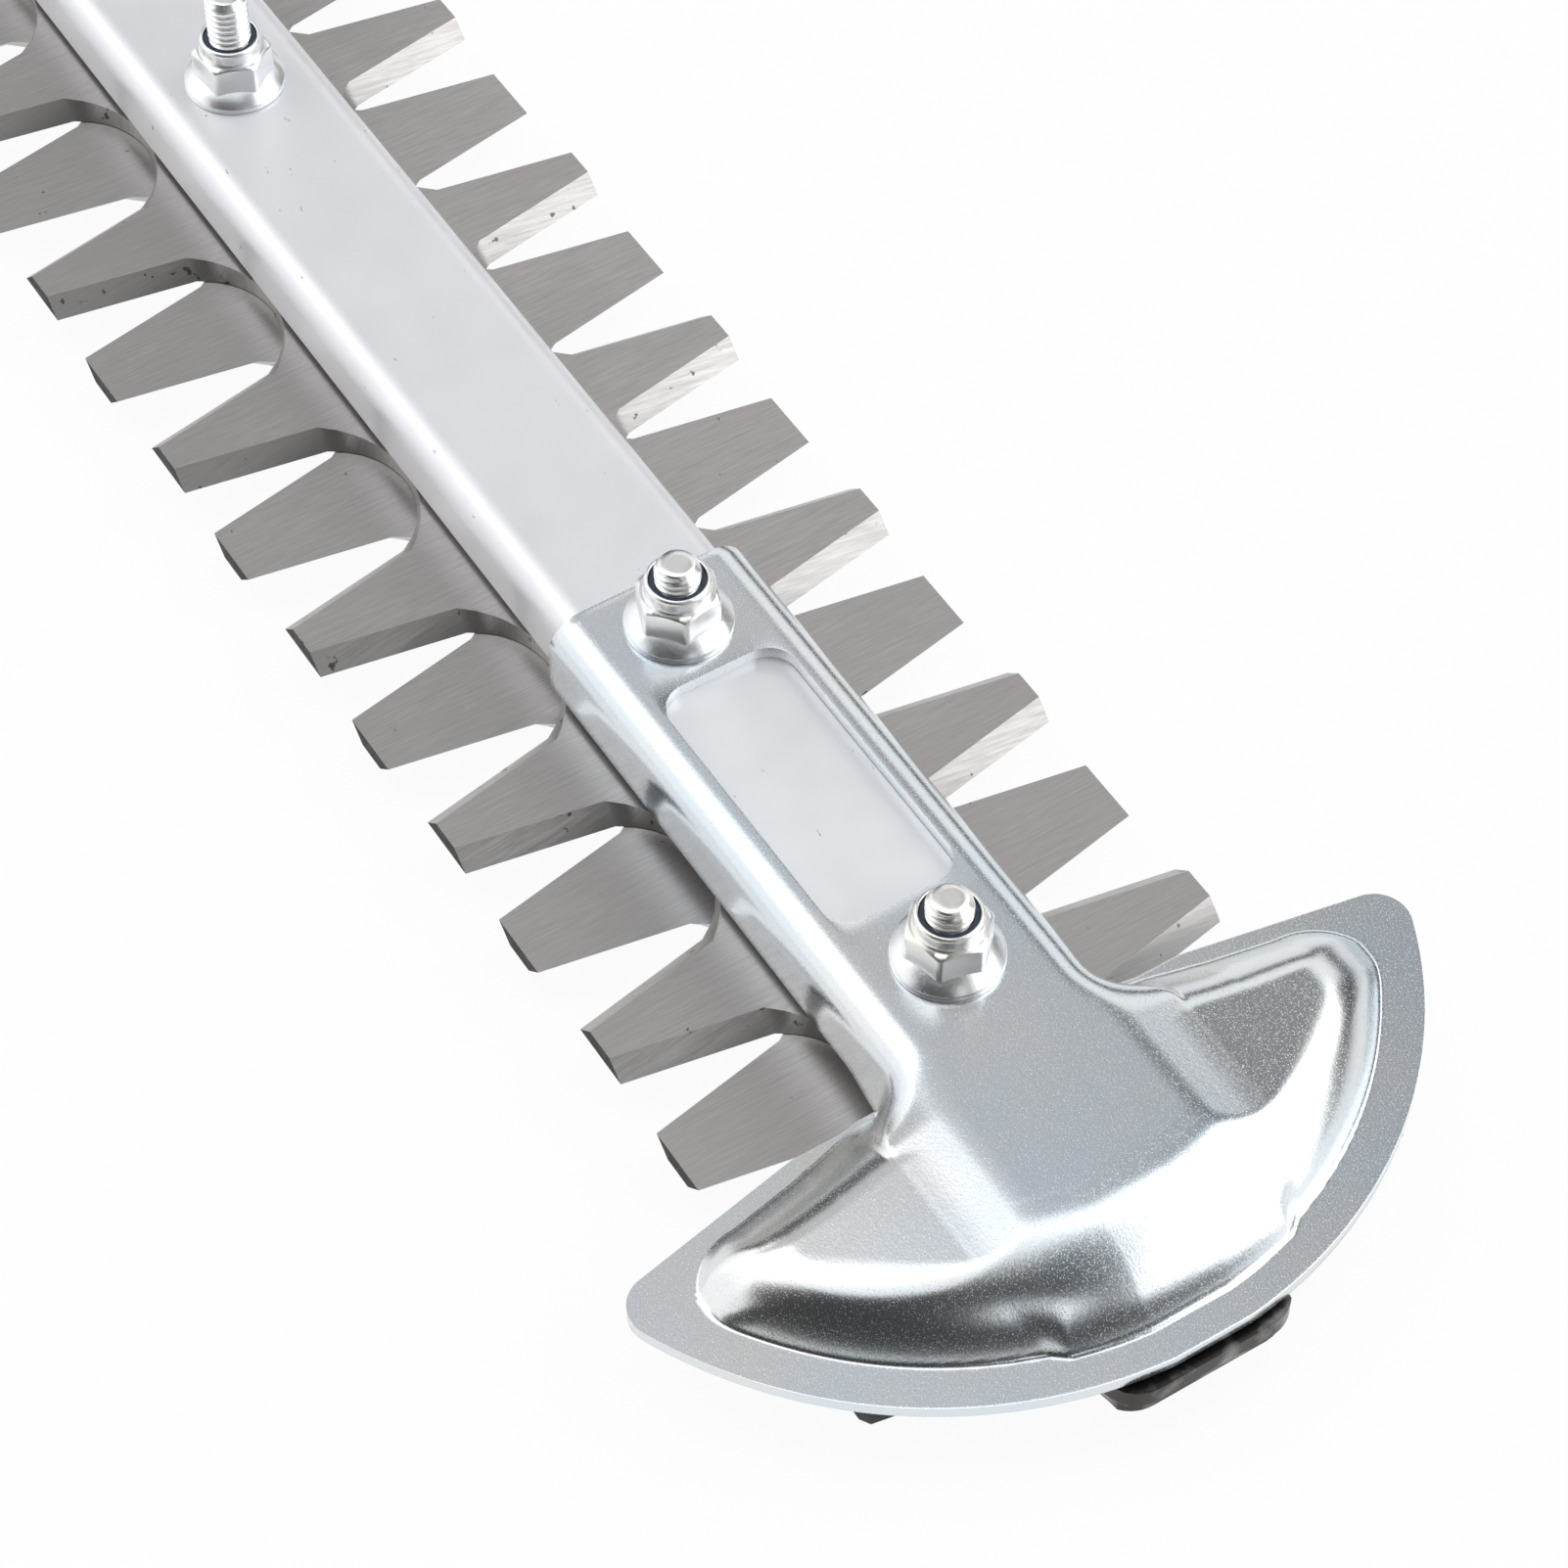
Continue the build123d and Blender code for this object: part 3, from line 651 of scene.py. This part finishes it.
# Tip guard
# One pressing of bright zinc plated sheet: a channel over the bar's front end with a window, which
# widens into a bridge and a half-moon nose with a flat rim. Two clamp bolts hold it on the bar.
ZINC = (0.76, 0.785, 0.80, 1.0)
SHEET = 1.8
GUARD_TOP = 12.4
GUARD_HALF = 14.6
GUARD_FLAT = 9.6
GUARD_REAR = -69.4
RIM_TOP = 3.0
WINDOW_REAR = -52.3
WINDOW_FRONT = -9.8
WINDOW_HALF = 9.2
WINDOW_R = 4.0
NOSE_CENTRE = -4.4
RIM_R = 60.4
RIM_WIDTH = 5.2
FRONT_RIM_WIDTH = 4.2
FRONT_RIM_HALF = 16.5
KINK = 1.3
KINK_SPREAD = 9.0
REAR_RIM = 2.0
REAR_RIM_START = 19.0
REAR_RIM_FULL = 30.0
NOSE_REAR = 9.5
NOSE_JOIN = 9.0
LOBE_START = 15.0
LOBE_STRAIGHT = 28.0
LOBE_END = 55.0
LOBE_SWEEP = 5.2
LOBE_TIP_R = 4.5
LOBE_SHOULDER = 36.0
LOBE_DROP = 1.4
LOBE_TURN = 39.0
DOME_HALF = 47.7
REAR_RUN = 1.4
REAR_START = 1.3
FLARE_START = 8.0
FLARE_END = 19.0
RIDGE_HALF = 20.6
RIDGE_DROP = 1.5
BEND_START = 11.0
BEND_END = 14.0
SLOPE_FLAT_R = 40.0
FOOT_Z = 2.5
WALL_LEAN = 0.8
LEAN_START = 0.0
NOSE_LEAN = 4.0
NOSE_LEAN_END = 14.0
INNER_RISE = 0.4
FOOT_FALL = 2.0
LOBE_INNER_FALL = 1.5
LOBE_LEAST = 0.1
EDGE_SOFT = 0.25
CORNER_SOFT = 3.0
CORNER_FULL = 12.0
FRONT_SOFT = 0.2
LOBE_SOFT = 1.4
LOBE_SOFT_DROP = (1.0, 2.6)
RIM_SOFT = 0.3
REAR_EASE = (18.0, 22.0)
WINDOW_MARGIN = 3.0
SHOULDER_STEPS = 15
WALL_STEPS = 9
NOSE_STEPS = 121


def smooth_max(a, b, radius):
    """The larger of two heights, rounded over where they are within a radius of each other."""
    share = np.clip(0.5 + (a - b) / (2 * radius), 0, 1)
    return b + (a - b) * share + radius * share * (1 - share)


def smooth_min(a, b, radius):
    """The smaller of two heights, rounded the same way."""
    return -smooth_max(-a, -b, radius)


def eased(value, start, end):
    """Share from 0 at start to 1 at end, with level ends."""
    share = np.clip((value - start) / (end - start), 0, 1)
    return share * share * (3 - 2 * share)


def shoulder_arc(x):
    """Half width of channel or bridge at the places x along it, the drop from its flat top to
    there, and the radius of the arc between."""
    widen = eased(x, FLARE_START, FLARE_END)
    half = GUARD_HALF + (RIDGE_HALF - GUARD_HALF) * widen
    drop = (GUARD_HALF - GUARD_FLAT) * (1 - widen) + RIDGE_DROP * widen
    run = half - GUARD_FLAT
    return half, drop, (run ** 2 + drop ** 2) / (2 * drop)


def ridge(x, y):
    """Height of channel and bridge: a flat top, then an arc on each shoulder that falls to the
    half width there, and below it a steep wall, which leans out more on the bridge. There the
    arc passes into a short bend and a straight slope."""
    half, drop, radius = shoulder_arc(x)
    out = np.clip(np.abs(y) - GUARD_FLAT, 0, half - GUARD_FLAT)
    shoulder = GUARD_TOP - radius + np.sqrt(np.maximum(radius ** 2 - out ** 2, 0))
    bend = np.clip(np.abs(y) - BEND_START, 0, BEND_END - BEND_START)
    past = np.clip(np.abs(y) - BEND_END, 0, half - BEND_END)
    lean = drop / (half - (BEND_START + BEND_END) / 2)
    slope = GUARD_TOP - lean * (bend ** 2 / (2 * (BEND_END - BEND_START)) + past)
    shoulder = shoulder + (slope - shoulder) * eased(x, NOSE_JOIN, FLARE_END)
    beyond = np.maximum(np.abs(y) - half, 0)
    reach = WALL_LEAN + NOSE_LEAN * eased(x, NOSE_JOIN, NOSE_LEAN_END)
    return shoulder - beyond * (GUARD_TOP - drop - RIM_TOP) / reach


def front_slope(r, y):
    """Height of the nose's front over the radius from its centre: an arc that leaves the flat top
    level and falls to the rim's foot, which lies further out in front of the bridge; the change
    is a kink at the foot and eases out above it. Inside the arc it rises on, so that it stays
    clear of the flat top."""
    share = np.clip((r - SLOPE_FLAT_R) / (RIM_R - RIM_WIDTH - SLOPE_FLAT_R), 0, 1)
    kink = KINK + KINK_SPREAD * (1 - share)
    wide = eased(np.abs(y), FRONT_RIM_HALF - kink, FRONT_RIM_HALF + kink)
    foot_r = RIM_R - FRONT_RIM_WIDTH + (FRONT_RIM_WIDTH - RIM_WIDTH) * wide
    run = foot_r - SLOPE_FLAT_R
    fall = GUARD_TOP - FOOT_Z
    radius = (run ** 2 + fall ** 2) / (2 * fall)
    out = np.clip(r - SLOPE_FLAT_R, 0, run)
    arc = GUARD_TOP - radius + np.sqrt(radius ** 2 - out ** 2)
    inside = np.maximum(SLOPE_FLAT_R - r, 0)
    return arc + INNER_RISE * inside - FOOT_FALL * np.maximum(r - foot_r, 0)


def lobe_height(x, y):
    """Height of a lobe: from its rear foot an S that starts on a slope and ends level on a flat,
    which falls a little from the bridge and then turns down evenly to the lobe's end."""
    out = np.abs(y)
    turn = DOME_HALF - LOBE_TURN
    past = np.clip(out - LOBE_TURN, 0, turn)
    sweep = np.clip(np.minimum(out, LOBE_TURN) - LOBE_STRAIGHT, 0, None)
    rim = REAR_RIM * eased(out, REAR_RIM_START, REAR_RIM_FULL)
    foot = NOSE_REAR + rim + LOBE_SWEEP * sweep / (LOBE_END - LOBE_STRAIGHT)
    foot = foot + turn - np.sqrt(turn ** 2 - past ** 2)
    flat = GUARD_TOP - RIDGE_DROP - LOBE_DROP * (out - RIDGE_HALF) / (LOBE_SHOULDER - RIDGE_HALF)
    end = np.clip((out - LOBE_SHOULDER) / (DOME_HALF - LOBE_SHOULDER), 0, 1)
    flat = flat - LOBE_INNER_FALL * np.maximum(LOBE_START - out, 0)
    rise = np.maximum((flat - FOOT_Z) * (1 - end ** 2), 0) + LOBE_LEAST
    share = np.clip((x - foot) / (REAR_RUN * rise), 0, 1)
    return FOOT_Z + rise * (share ** 2 * (3 - 2 * share) + REAR_START * share * (1 - share) ** 2)


def nose_height(x, y):
    """Height of the whole nose: bridge and lobes, rounded where they meet, most of all in the
    rear corners, then cut by the front slope and never below the flat rim."""
    in_corner = eased(x, NOSE_JOIN, CORNER_FULL) * (1 - eased(x, CORNER_FULL, FLARE_END))
    top = smooth_max(ridge(x, y), lobe_height(x, y), EDGE_SOFT + CORNER_SOFT * in_corner)
    front = front_slope(np.hypot(x - NOSE_CENTRE, y), y)
    soft = FRONT_SOFT + LOBE_SOFT * eased(GUARD_TOP - top, *LOBE_SOFT_DROP)
    return smooth_max(smooth_min(top, front, soft), RIM_TOP + 0 * x, RIM_SOFT)


def channel_cut(x, height):
    """Points across the guard at the places x along it: over the flat top, round the shoulders
    and down the walls, which lean out towards the nose; the last row is the walls' lower edge."""
    lean = WALL_LEAN * eased(x, LEAN_START, NOSE_JOIN)
    half, drop, radius = shoulder_arc(x)
    limit = np.arcsin(np.clip((half - GUARD_FLAT) / radius, 0, 1))
    turn = np.linspace(0, 1, SHOULDER_STEPS)[None, :] * limit[:, None]
    shoulder_y = GUARD_FLAT + radius[:, None] * np.sin(turn)
    shoulder_z = GUARD_TOP - radius[:, None] * (1 - np.cos(turn))
    fall = np.linspace(0, 1, WALL_STEPS)[None, 1:]
    wall_y = half[:, None] + lean[:, None] * fall
    start = (GUARD_TOP - drop)[:, None]
    wall_z = start + (RIM_TOP - start) * fall
    foot_y = half + lean
    foot_z = np.full_like(foot_y, height)
    y = np.concatenate([shoulder_y, wall_y, foot_y[:, None]], axis=1)
    z = np.concatenate([shoulder_z, wall_z, foot_z[:, None]], axis=1)
    return y, z


def window_outline(points):
    """Rounded window: straight sides and quarter arcs, and beside it the rectangle around it,
    with equal counts of points that face each other."""
    turn = np.linspace(0, np.pi / 2, points)
    arc_x = WINDOW_FRONT - WINDOW_R + WINDOW_R * np.sin(turn)
    arc_y = WINDOW_HALF - WINDOW_R + WINDOW_R * np.cos(turn)
    corner_x = WINDOW_FRONT + WINDOW_MARGIN
    half = points // 2
    long_side = np.linspace(WINDOW_FRONT - WINDOW_R, corner_x, half + 1)
    short_side = np.linspace(GUARD_FLAT, WINDOW_HALF - WINDOW_R, points - half)
    out_x = np.concatenate([long_side, np.full(points - half - 1, corner_x)])
    out_y = np.concatenate([np.full(half + 1, GUARD_FLAT), short_side[1:]])
    middle = (WINDOW_REAR + WINDOW_FRONT) / 2
    inner = np.stack([arc_x, arc_y], axis=-1)
    outer = np.stack([out_x, out_y], axis=-1)

    def whole(quarter):
        right = np.concatenate([quarter, quarter[::-1] * (1, -1)])
        return np.concatenate([right, right[::-1] * (-1, 1) + (2 * middle, 0)])

    return whole(inner), whole(outer)


def guard_skin():
    """Outer face of the guard: the channel's cuts carried along it, a flat top with the window,
    and the nose as heights over lines that run from its rear edge to the rim's front arc."""
    inner, outer = window_outline(13)
    low_x, high_x = outer[:, 0].min(), outer[:, 0].max()
    beside = np.unique(np.round(outer[outer[:, 1] > GUARD_FLAT - 1e-6, 0], 6))
    behind = np.linspace(GUARD_REAR, low_x, 12)[:-1]
    ahead = np.linspace(high_x, NOSE_JOIN, 26)[1:]
    x = np.concatenate([behind, beside, ahead])
    y, z = channel_cut(x, RIM_TOP - SHEET)
    patches = []
    for side in (1, -1):
        grid = np.stack([np.broadcast_to(x[:, None], y.shape), side * y, z], axis=-1)
        faces = grid_quads(*y.shape)
        patches.append((grid.reshape(-1, 3), faces if side < 0 else faces[:, ::-1]))
    ring = np.concatenate([inner, outer])
    ring = np.column_stack([ring, np.full(len(ring), GUARD_TOP)])
    patches.append((ring, grid_quads(2, len(inner), True)))
    short = np.unique(np.round(outer[np.abs(outer[:, 0] - high_x) < 1e-6, 1], 6))
    for stations, across in ((np.append(behind, low_x), short), (np.append(high_x, ahead), short)):
        gx, gy = np.meshgrid(stations, across, indexing="ij")
        grid = np.stack([gx, gy, np.full(gx.shape, GUARD_TOP)], axis=-1)
        patches.append((grid.reshape(-1, 3), grid_quads(*gx.shape)[:, ::-1]))
    lines = nose_lines(y[-1, :-1], short)
    rear, front = nose_ends(np.abs(lines))
    share = np.linspace(0, 1, NOSE_STEPS)[None, :]
    nx = rear[:, None] + (front - rear)[:, None] * share
    ny = np.broadcast_to(lines[:, None], nx.shape)
    nz = nose_height(nx, ny)
    grid = np.stack([nx, ny, nz], axis=-1)
    patches.append((grid.reshape(-1, 3), grid_quads(*nx.shape)))
    return joined(patches)


def nose_lines(shoulder, flat):
    """Places across the nose of the lines along it: the channel's own points, then even steps
    out to the lobe's tip, closer together towards its round end."""
    tip_y = lobe_tip()[1]
    even = np.linspace(shoulder[-1], tip_y, 84)[1:]
    round_end = tip_y + LOBE_TIP_R * np.sin(np.linspace(0, radians(86), 15)[1:])
    right = np.concatenate([shoulder, even, round_end])
    inside = flat[np.abs(flat) < GUARD_FLAT - 1e-6]
    return np.concatenate([-right[::-1], inside, right])


def lobe_tip():
    """Centre of the lobe's round tip: one tip radius inside both the rear edge and the rim."""
    slope = LOBE_SWEEP / (LOBE_END - LOBE_STRAIGHT)
    y = np.linspace(40, 60, 20001)
    x = NOSE_REAR + slope * (y - LOBE_STRAIGHT) + LOBE_TIP_R * np.sqrt(1 + slope ** 2)
    best = np.argmin(np.abs(np.hypot(x - NOSE_CENTRE, y) - RIM_R + LOBE_TIP_R))
    return x[best], y[best]


def nose_ends(y):
    """Rear and front end of the line along the nose at the distance y from the middle."""
    tip_x, tip_y = lobe_tip()
    slope = LOBE_SWEEP / (LOBE_END - LOBE_STRAIGHT)
    corner = eased(y, *REAR_EASE)
    rear = NOSE_JOIN + (NOSE_REAR - NOSE_JOIN) * corner + slope * np.maximum(y - LOBE_STRAIGHT, 0)
    front = NOSE_CENTRE + np.sqrt(np.maximum(RIM_R ** 2 - y ** 2, 0))
    reach = np.sqrt(np.maximum(LOBE_TIP_R ** 2 - (y - tip_y) ** 2, 0))
    turn = LOBE_TIP_R / np.sqrt(1 + slope ** 2)
    rear = np.where(y > tip_y + slope * turn, tip_x - reach, rear)
    rim_angle = np.arctan2(tip_y, tip_x - NOSE_CENTRE)
    front = np.where(y > RIM_R * np.sin(rim_angle), tip_x + reach, front)
    return rear, front


guard_zinc = plated_zinc("guard_zinc_plating", ZINC, 0.22, 0.05, 0.13)
guard_points, guard_faces = guard_skin()
guard = make_piece(
    "tip_guard_pressing", guard_points, guard_faces, [guard_zinc], "frame",
    ["tip_guard"], outward=False, sharp=60,
)
sheet = guard.modifiers.new("sheet", "SOLIDIFY")
sheet.thickness = SHEET * MM
sheet.offset = -1
rounded_edges(guard, 0.3, 2, 60)

# Lock nuts and nylon rings
# Zinc plated flange nuts: a hexagon with a chamfered crown on a round flange, and a collar crimped
# over a dark nylon ring that grips the thread. One stands on each bolt.
NUT_AF = 10.0
NUT_CORNER_R = 5.62
NUT_FLANGE_R = 7.1
NUT_HEX_H = 6.4
NUT_BORE = 3.05
NUT_TURN = (-44.7, -20.3, 6.9, 18.0)
RING_R = 3.72
RING_LOW = 6.35
RING_HIGH = 8.25
RING_EDGE = 0.12
CONE_START = 1.1
CONE_SLOPE = 0.62
CROWN_R = 4.85
CROWN_SLOPE = 0.6
FLANGE_PATH = ((6.85, 0), (NUT_FLANGE_R, 0.22), (NUT_FLANGE_R, 0.85), (6.98, 1.08))
COLLAR_PATH = (
    (CROWN_R, NUT_HEX_H + 0.02), (4.5, NUT_HEX_H), (4.35, 6.58), (4.35, 8.02), (4.27, 8.32),
    (4.08, 8.54), (3.9, 8.6), (3.75, 8.52), (RING_R, 8.2), (RING_R, RING_LOW), (NUT_BORE, RING_LOW),
)
NYLON = (0.05, 0.08, 0.12, 1)
NYLON_DARK = (0.02, 0.035, 0.06, 1)


def nut_mesh(turn):
    """Closed path round each side of the nut, with the hexagon's distance from the middle put in
    for every angle: flange edge, cone, flat wall, chamfered crown, collar, lip, seat and bore."""
    angle = np.linspace(0, 2 * np.pi, 144, endpoint=False)
    hexagon = NUT_AF / 2 / np.cos((angle - radians(turn) + np.pi / 6) % (np.pi / 3) - np.pi / 6)
    hexagon = np.minimum(hexagon, NUT_CORNER_R)
    even = np.ones_like(angle)
    cone = CONE_START + (NUT_FLANGE_R - hexagon - 0.2) * CONE_SLOPE
    crown = NUT_HEX_H - np.maximum(hexagon - CROWN_R, 0) * CROWN_SLOPE
    bore = [(NUT_BORE * even, 0 * even)]
    rows = bore + [(r * even, z * even) for r, z in FLANGE_PATH]
    rows += [(hexagon + 0.2, cone), (hexagon + 0.05, cone + 0.12), (hexagon, cone + 0.35)]
    rows += [(hexagon, crown - 0.12), (hexagon - 0.08, crown + 0.02)]
    rows += [(r * even, z * even) for r, z in COLLAR_PATH] + bore
    radius = np.array([r for r, _ in rows])
    height = np.array([z for _, z in rows])
    grid = np.stack([radius * np.cos(angle), radius * np.sin(angle), height], axis=-1)
    return grid.reshape(-1, 3), grid_quads(len(rows), len(angle), True)


def dark_nylon():
    """Dark blue nylon, slightly shiny, with a faint moulded grain."""
    material, shader = new_material("dark_nylon", (0.03, 0.05, 0.085, 1), 0.0, 0.38)
    tone = ramp(material, noise(material, 900, 4), [(0.3, NYLON_DARK), (0.7, NYLON)])
    wire(material, tone, shader.inputs["Base Color"])
    bumped(material, shader, noise(material, 2500, 2), 0.2, 0.00004)
    return material


nylon = dark_nylon()
for number, (bolt_x, turn) in enumerate(zip(BOLT_X, NUT_TURN), 1):
    seat = (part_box(f"lock_nut_{number}")[0][2] - ORIGIN[2]) / MM
    points, faces = nut_mesh(turn + 30)
    make_piece(
        f"flange_nut_{number}", points + (bolt_x, 0, seat), faces.tolist(), [bright_zinc], "frame",
        [f"lock_nut_{number}"], sharp=38,
    )
    ring_cut = ring_path(NUT_BORE, RING_R, RING_LOW, RING_HIGH, RING_EDGE)
    points, faces = turned(ring_cut)
    make_piece(
        f"nylon_ring_{number}", points + (bolt_x, 0, seat), faces.tolist(), [nylon], "frame",
        [f"lock_ring_{number}"],
    )

# Floor, light and camera
# A plain white floor under the bolt heads, four large soft lamps and a small round one in a dim
# room, and the camera where the photograph was taken from.
CAMERA_TARGET = Vector(ORIGIN + np.array([-40.493, 2.506, 0.0]) * MM)
CAMERA_AZIMUTH = radians(57.704)
CAMERA_ELEVATION = radians(51.947)
CAMERA_DISTANCE = 0.57862
CAMERA_LENS = 105.288
FLOOR_HALF = 3.0
FLOOR_GAP = 0.0005
FLOOR_GLOW = 0.94
TOP_TURN = 37.7
ROOM_AXIS = (-0.55, -0.1, 0.83)
ROOM_STOPS = ((0.6, 0.05), (0.8, 0.1), (0.9, 0.64), (0.97, 0.56))


def white_floor():
    """White floor that the camera and reflections see as plain white, with the object's shadow."""
    material, shader = new_material("white_floor", (0.9, 0.9, 0.9, 1), 0.0, 0.9)
    path = add_node(material, "LightPath")
    seen = add_node(
        material, "Math", {"operation": "MAXIMUM"}, _0=path.outputs["Is Camera Ray"],
        _1=path.outputs["Is Glossy Ray"],
    )
    share = add_node(material, "Math", {"operation": "MULTIPLY"}, _0=seen.outputs[0], _1=FLOOR_GLOW)
    glow = add_node(material, "Emission", Color=(1, 1, 1, 1), Strength=1.0)
    mix = add_node(material, "MixShader")
    wire(material, share.outputs[0], mix.inputs[0])
    wire(material, shader.outputs[0], mix.inputs[1])
    wire(material, glow.outputs[0], mix.inputs[2])
    result = material.node_tree.nodes["Material Output"]
    wire(material, mix.outputs[0], result.inputs["Surface"])
    return material


floor_mesh = bpy.data.meshes.new("floor")
corners = np.array([(-1, -1), (1, -1), (1, 1), (-1, 1)]) * FLOOR_HALF
floor_mesh.from_pydata([(x, y, cad_box[0][2] - FLOOR_GAP) for x, y in corners], [], [(0, 1, 2, 3)])
floor_mesh.materials.append(white_floor())
floor = bpy.data.objects.new("floor", floor_mesh)
bpy.context.scene.collection.objects.link(floor)


def soft_lamp(name, place, turn, size, power, shape="RECTANGLE"):
    """Area lamp at a place in metres from the front bolt, turned to it and about its own axis."""
    lamp = bpy.data.lights.new(name, "AREA")
    lamp.shape = shape
    lamp.size, lamp.size_y = size
    lamp.energy = power
    holder = bpy.data.objects.new(name, lamp)
    holder.location = Vector(place) + Vector(ORIGIN)
    facing = (-Vector(place)).to_track_quat("-Z", "Y")
    holder.rotation_euler = (facing @ Quaternion((0, 0, 1), radians(turn))).to_euler()
    bpy.context.scene.collection.objects.link(holder)
    return holder


top_softbox = soft_lamp("top_softbox", (-0.456, -0.508, 1.0), 0, (1.9, 0.85), 5.6)
top_softbox.rotation_euler = (0, 0, radians(TOP_TURN))
soft_lamp("right_softbox", (0.51, 0.81, 0.72), 42, (1.8, 1.16), 13.5)
soft_lamp("rear_panel", (-0.71, 0.846, 0.565), 0, (1.12, 0.6), 2.1)
soft_lamp("left_panel", (-0.7, -0.7, 0.34), 0, (1.75, 0.68), 4.1)
soft_lamp("front_window", (0.97, -0.13, 0.625), 0, (0.34, 0.34), 0.38, "ELLIPSE")


def dim_studio():
    """Room light by direction: brightest overhead and towards the rear, dark all around, so that
    rounded metal shows soft dark sides."""
    world = bpy.data.worlds.new("studio")
    world.use_nodes = True
    nodes = world.node_tree.nodes
    links = world.node_tree.links
    place = nodes.new("ShaderNodeTexCoord")
    along = nodes.new("ShaderNodeVectorMath")
    along.operation = "DOT_PRODUCT"
    along.inputs[1].default_value = Vector(ROOM_AXIS).normalized()
    band = nodes.new("ShaderNodeValToRGB")
    for stop in ROOM_STOPS[2:]:
        band.color_ramp.elements.new(stop[0])
    for element, (where, grey) in zip(band.color_ramp.elements, ROOM_STOPS):
        element.position = where
        element.color = (grey, grey, grey * 1.02, 1)
    links.new(place.outputs["Generated"], along.inputs[0])
    links.new(along.outputs["Value"], band.inputs["Fac"])
    links.new(band.outputs["Color"], nodes["Background"].inputs["Color"])
    bpy.context.scene.world = world


dim_studio()

camera_data = bpy.data.cameras.new("photo_camera")
camera_data.lens = CAMERA_LENS
camera_data.sensor_width = 36.0
camera_data.clip_start = 0.01
camera = bpy.data.objects.new("photo_camera", camera_data)
flat_reach = np.cos(CAMERA_ELEVATION) * CAMERA_DISTANCE
offset = Vector((
    np.sin(CAMERA_AZIMUTH) * flat_reach, -np.cos(CAMERA_AZIMUTH) * flat_reach,
    np.sin(CAMERA_ELEVATION) * CAMERA_DISTANCE,
))
camera.location = CAMERA_TARGET + offset
camera.rotation_euler = (-offset).to_track_quat("-Z", "Y").to_euler()
bpy.context.scene.collection.objects.link(camera)
bpy.context.scene.camera = camera
bpy.context.scene.view_settings.view_transform = "Standard"
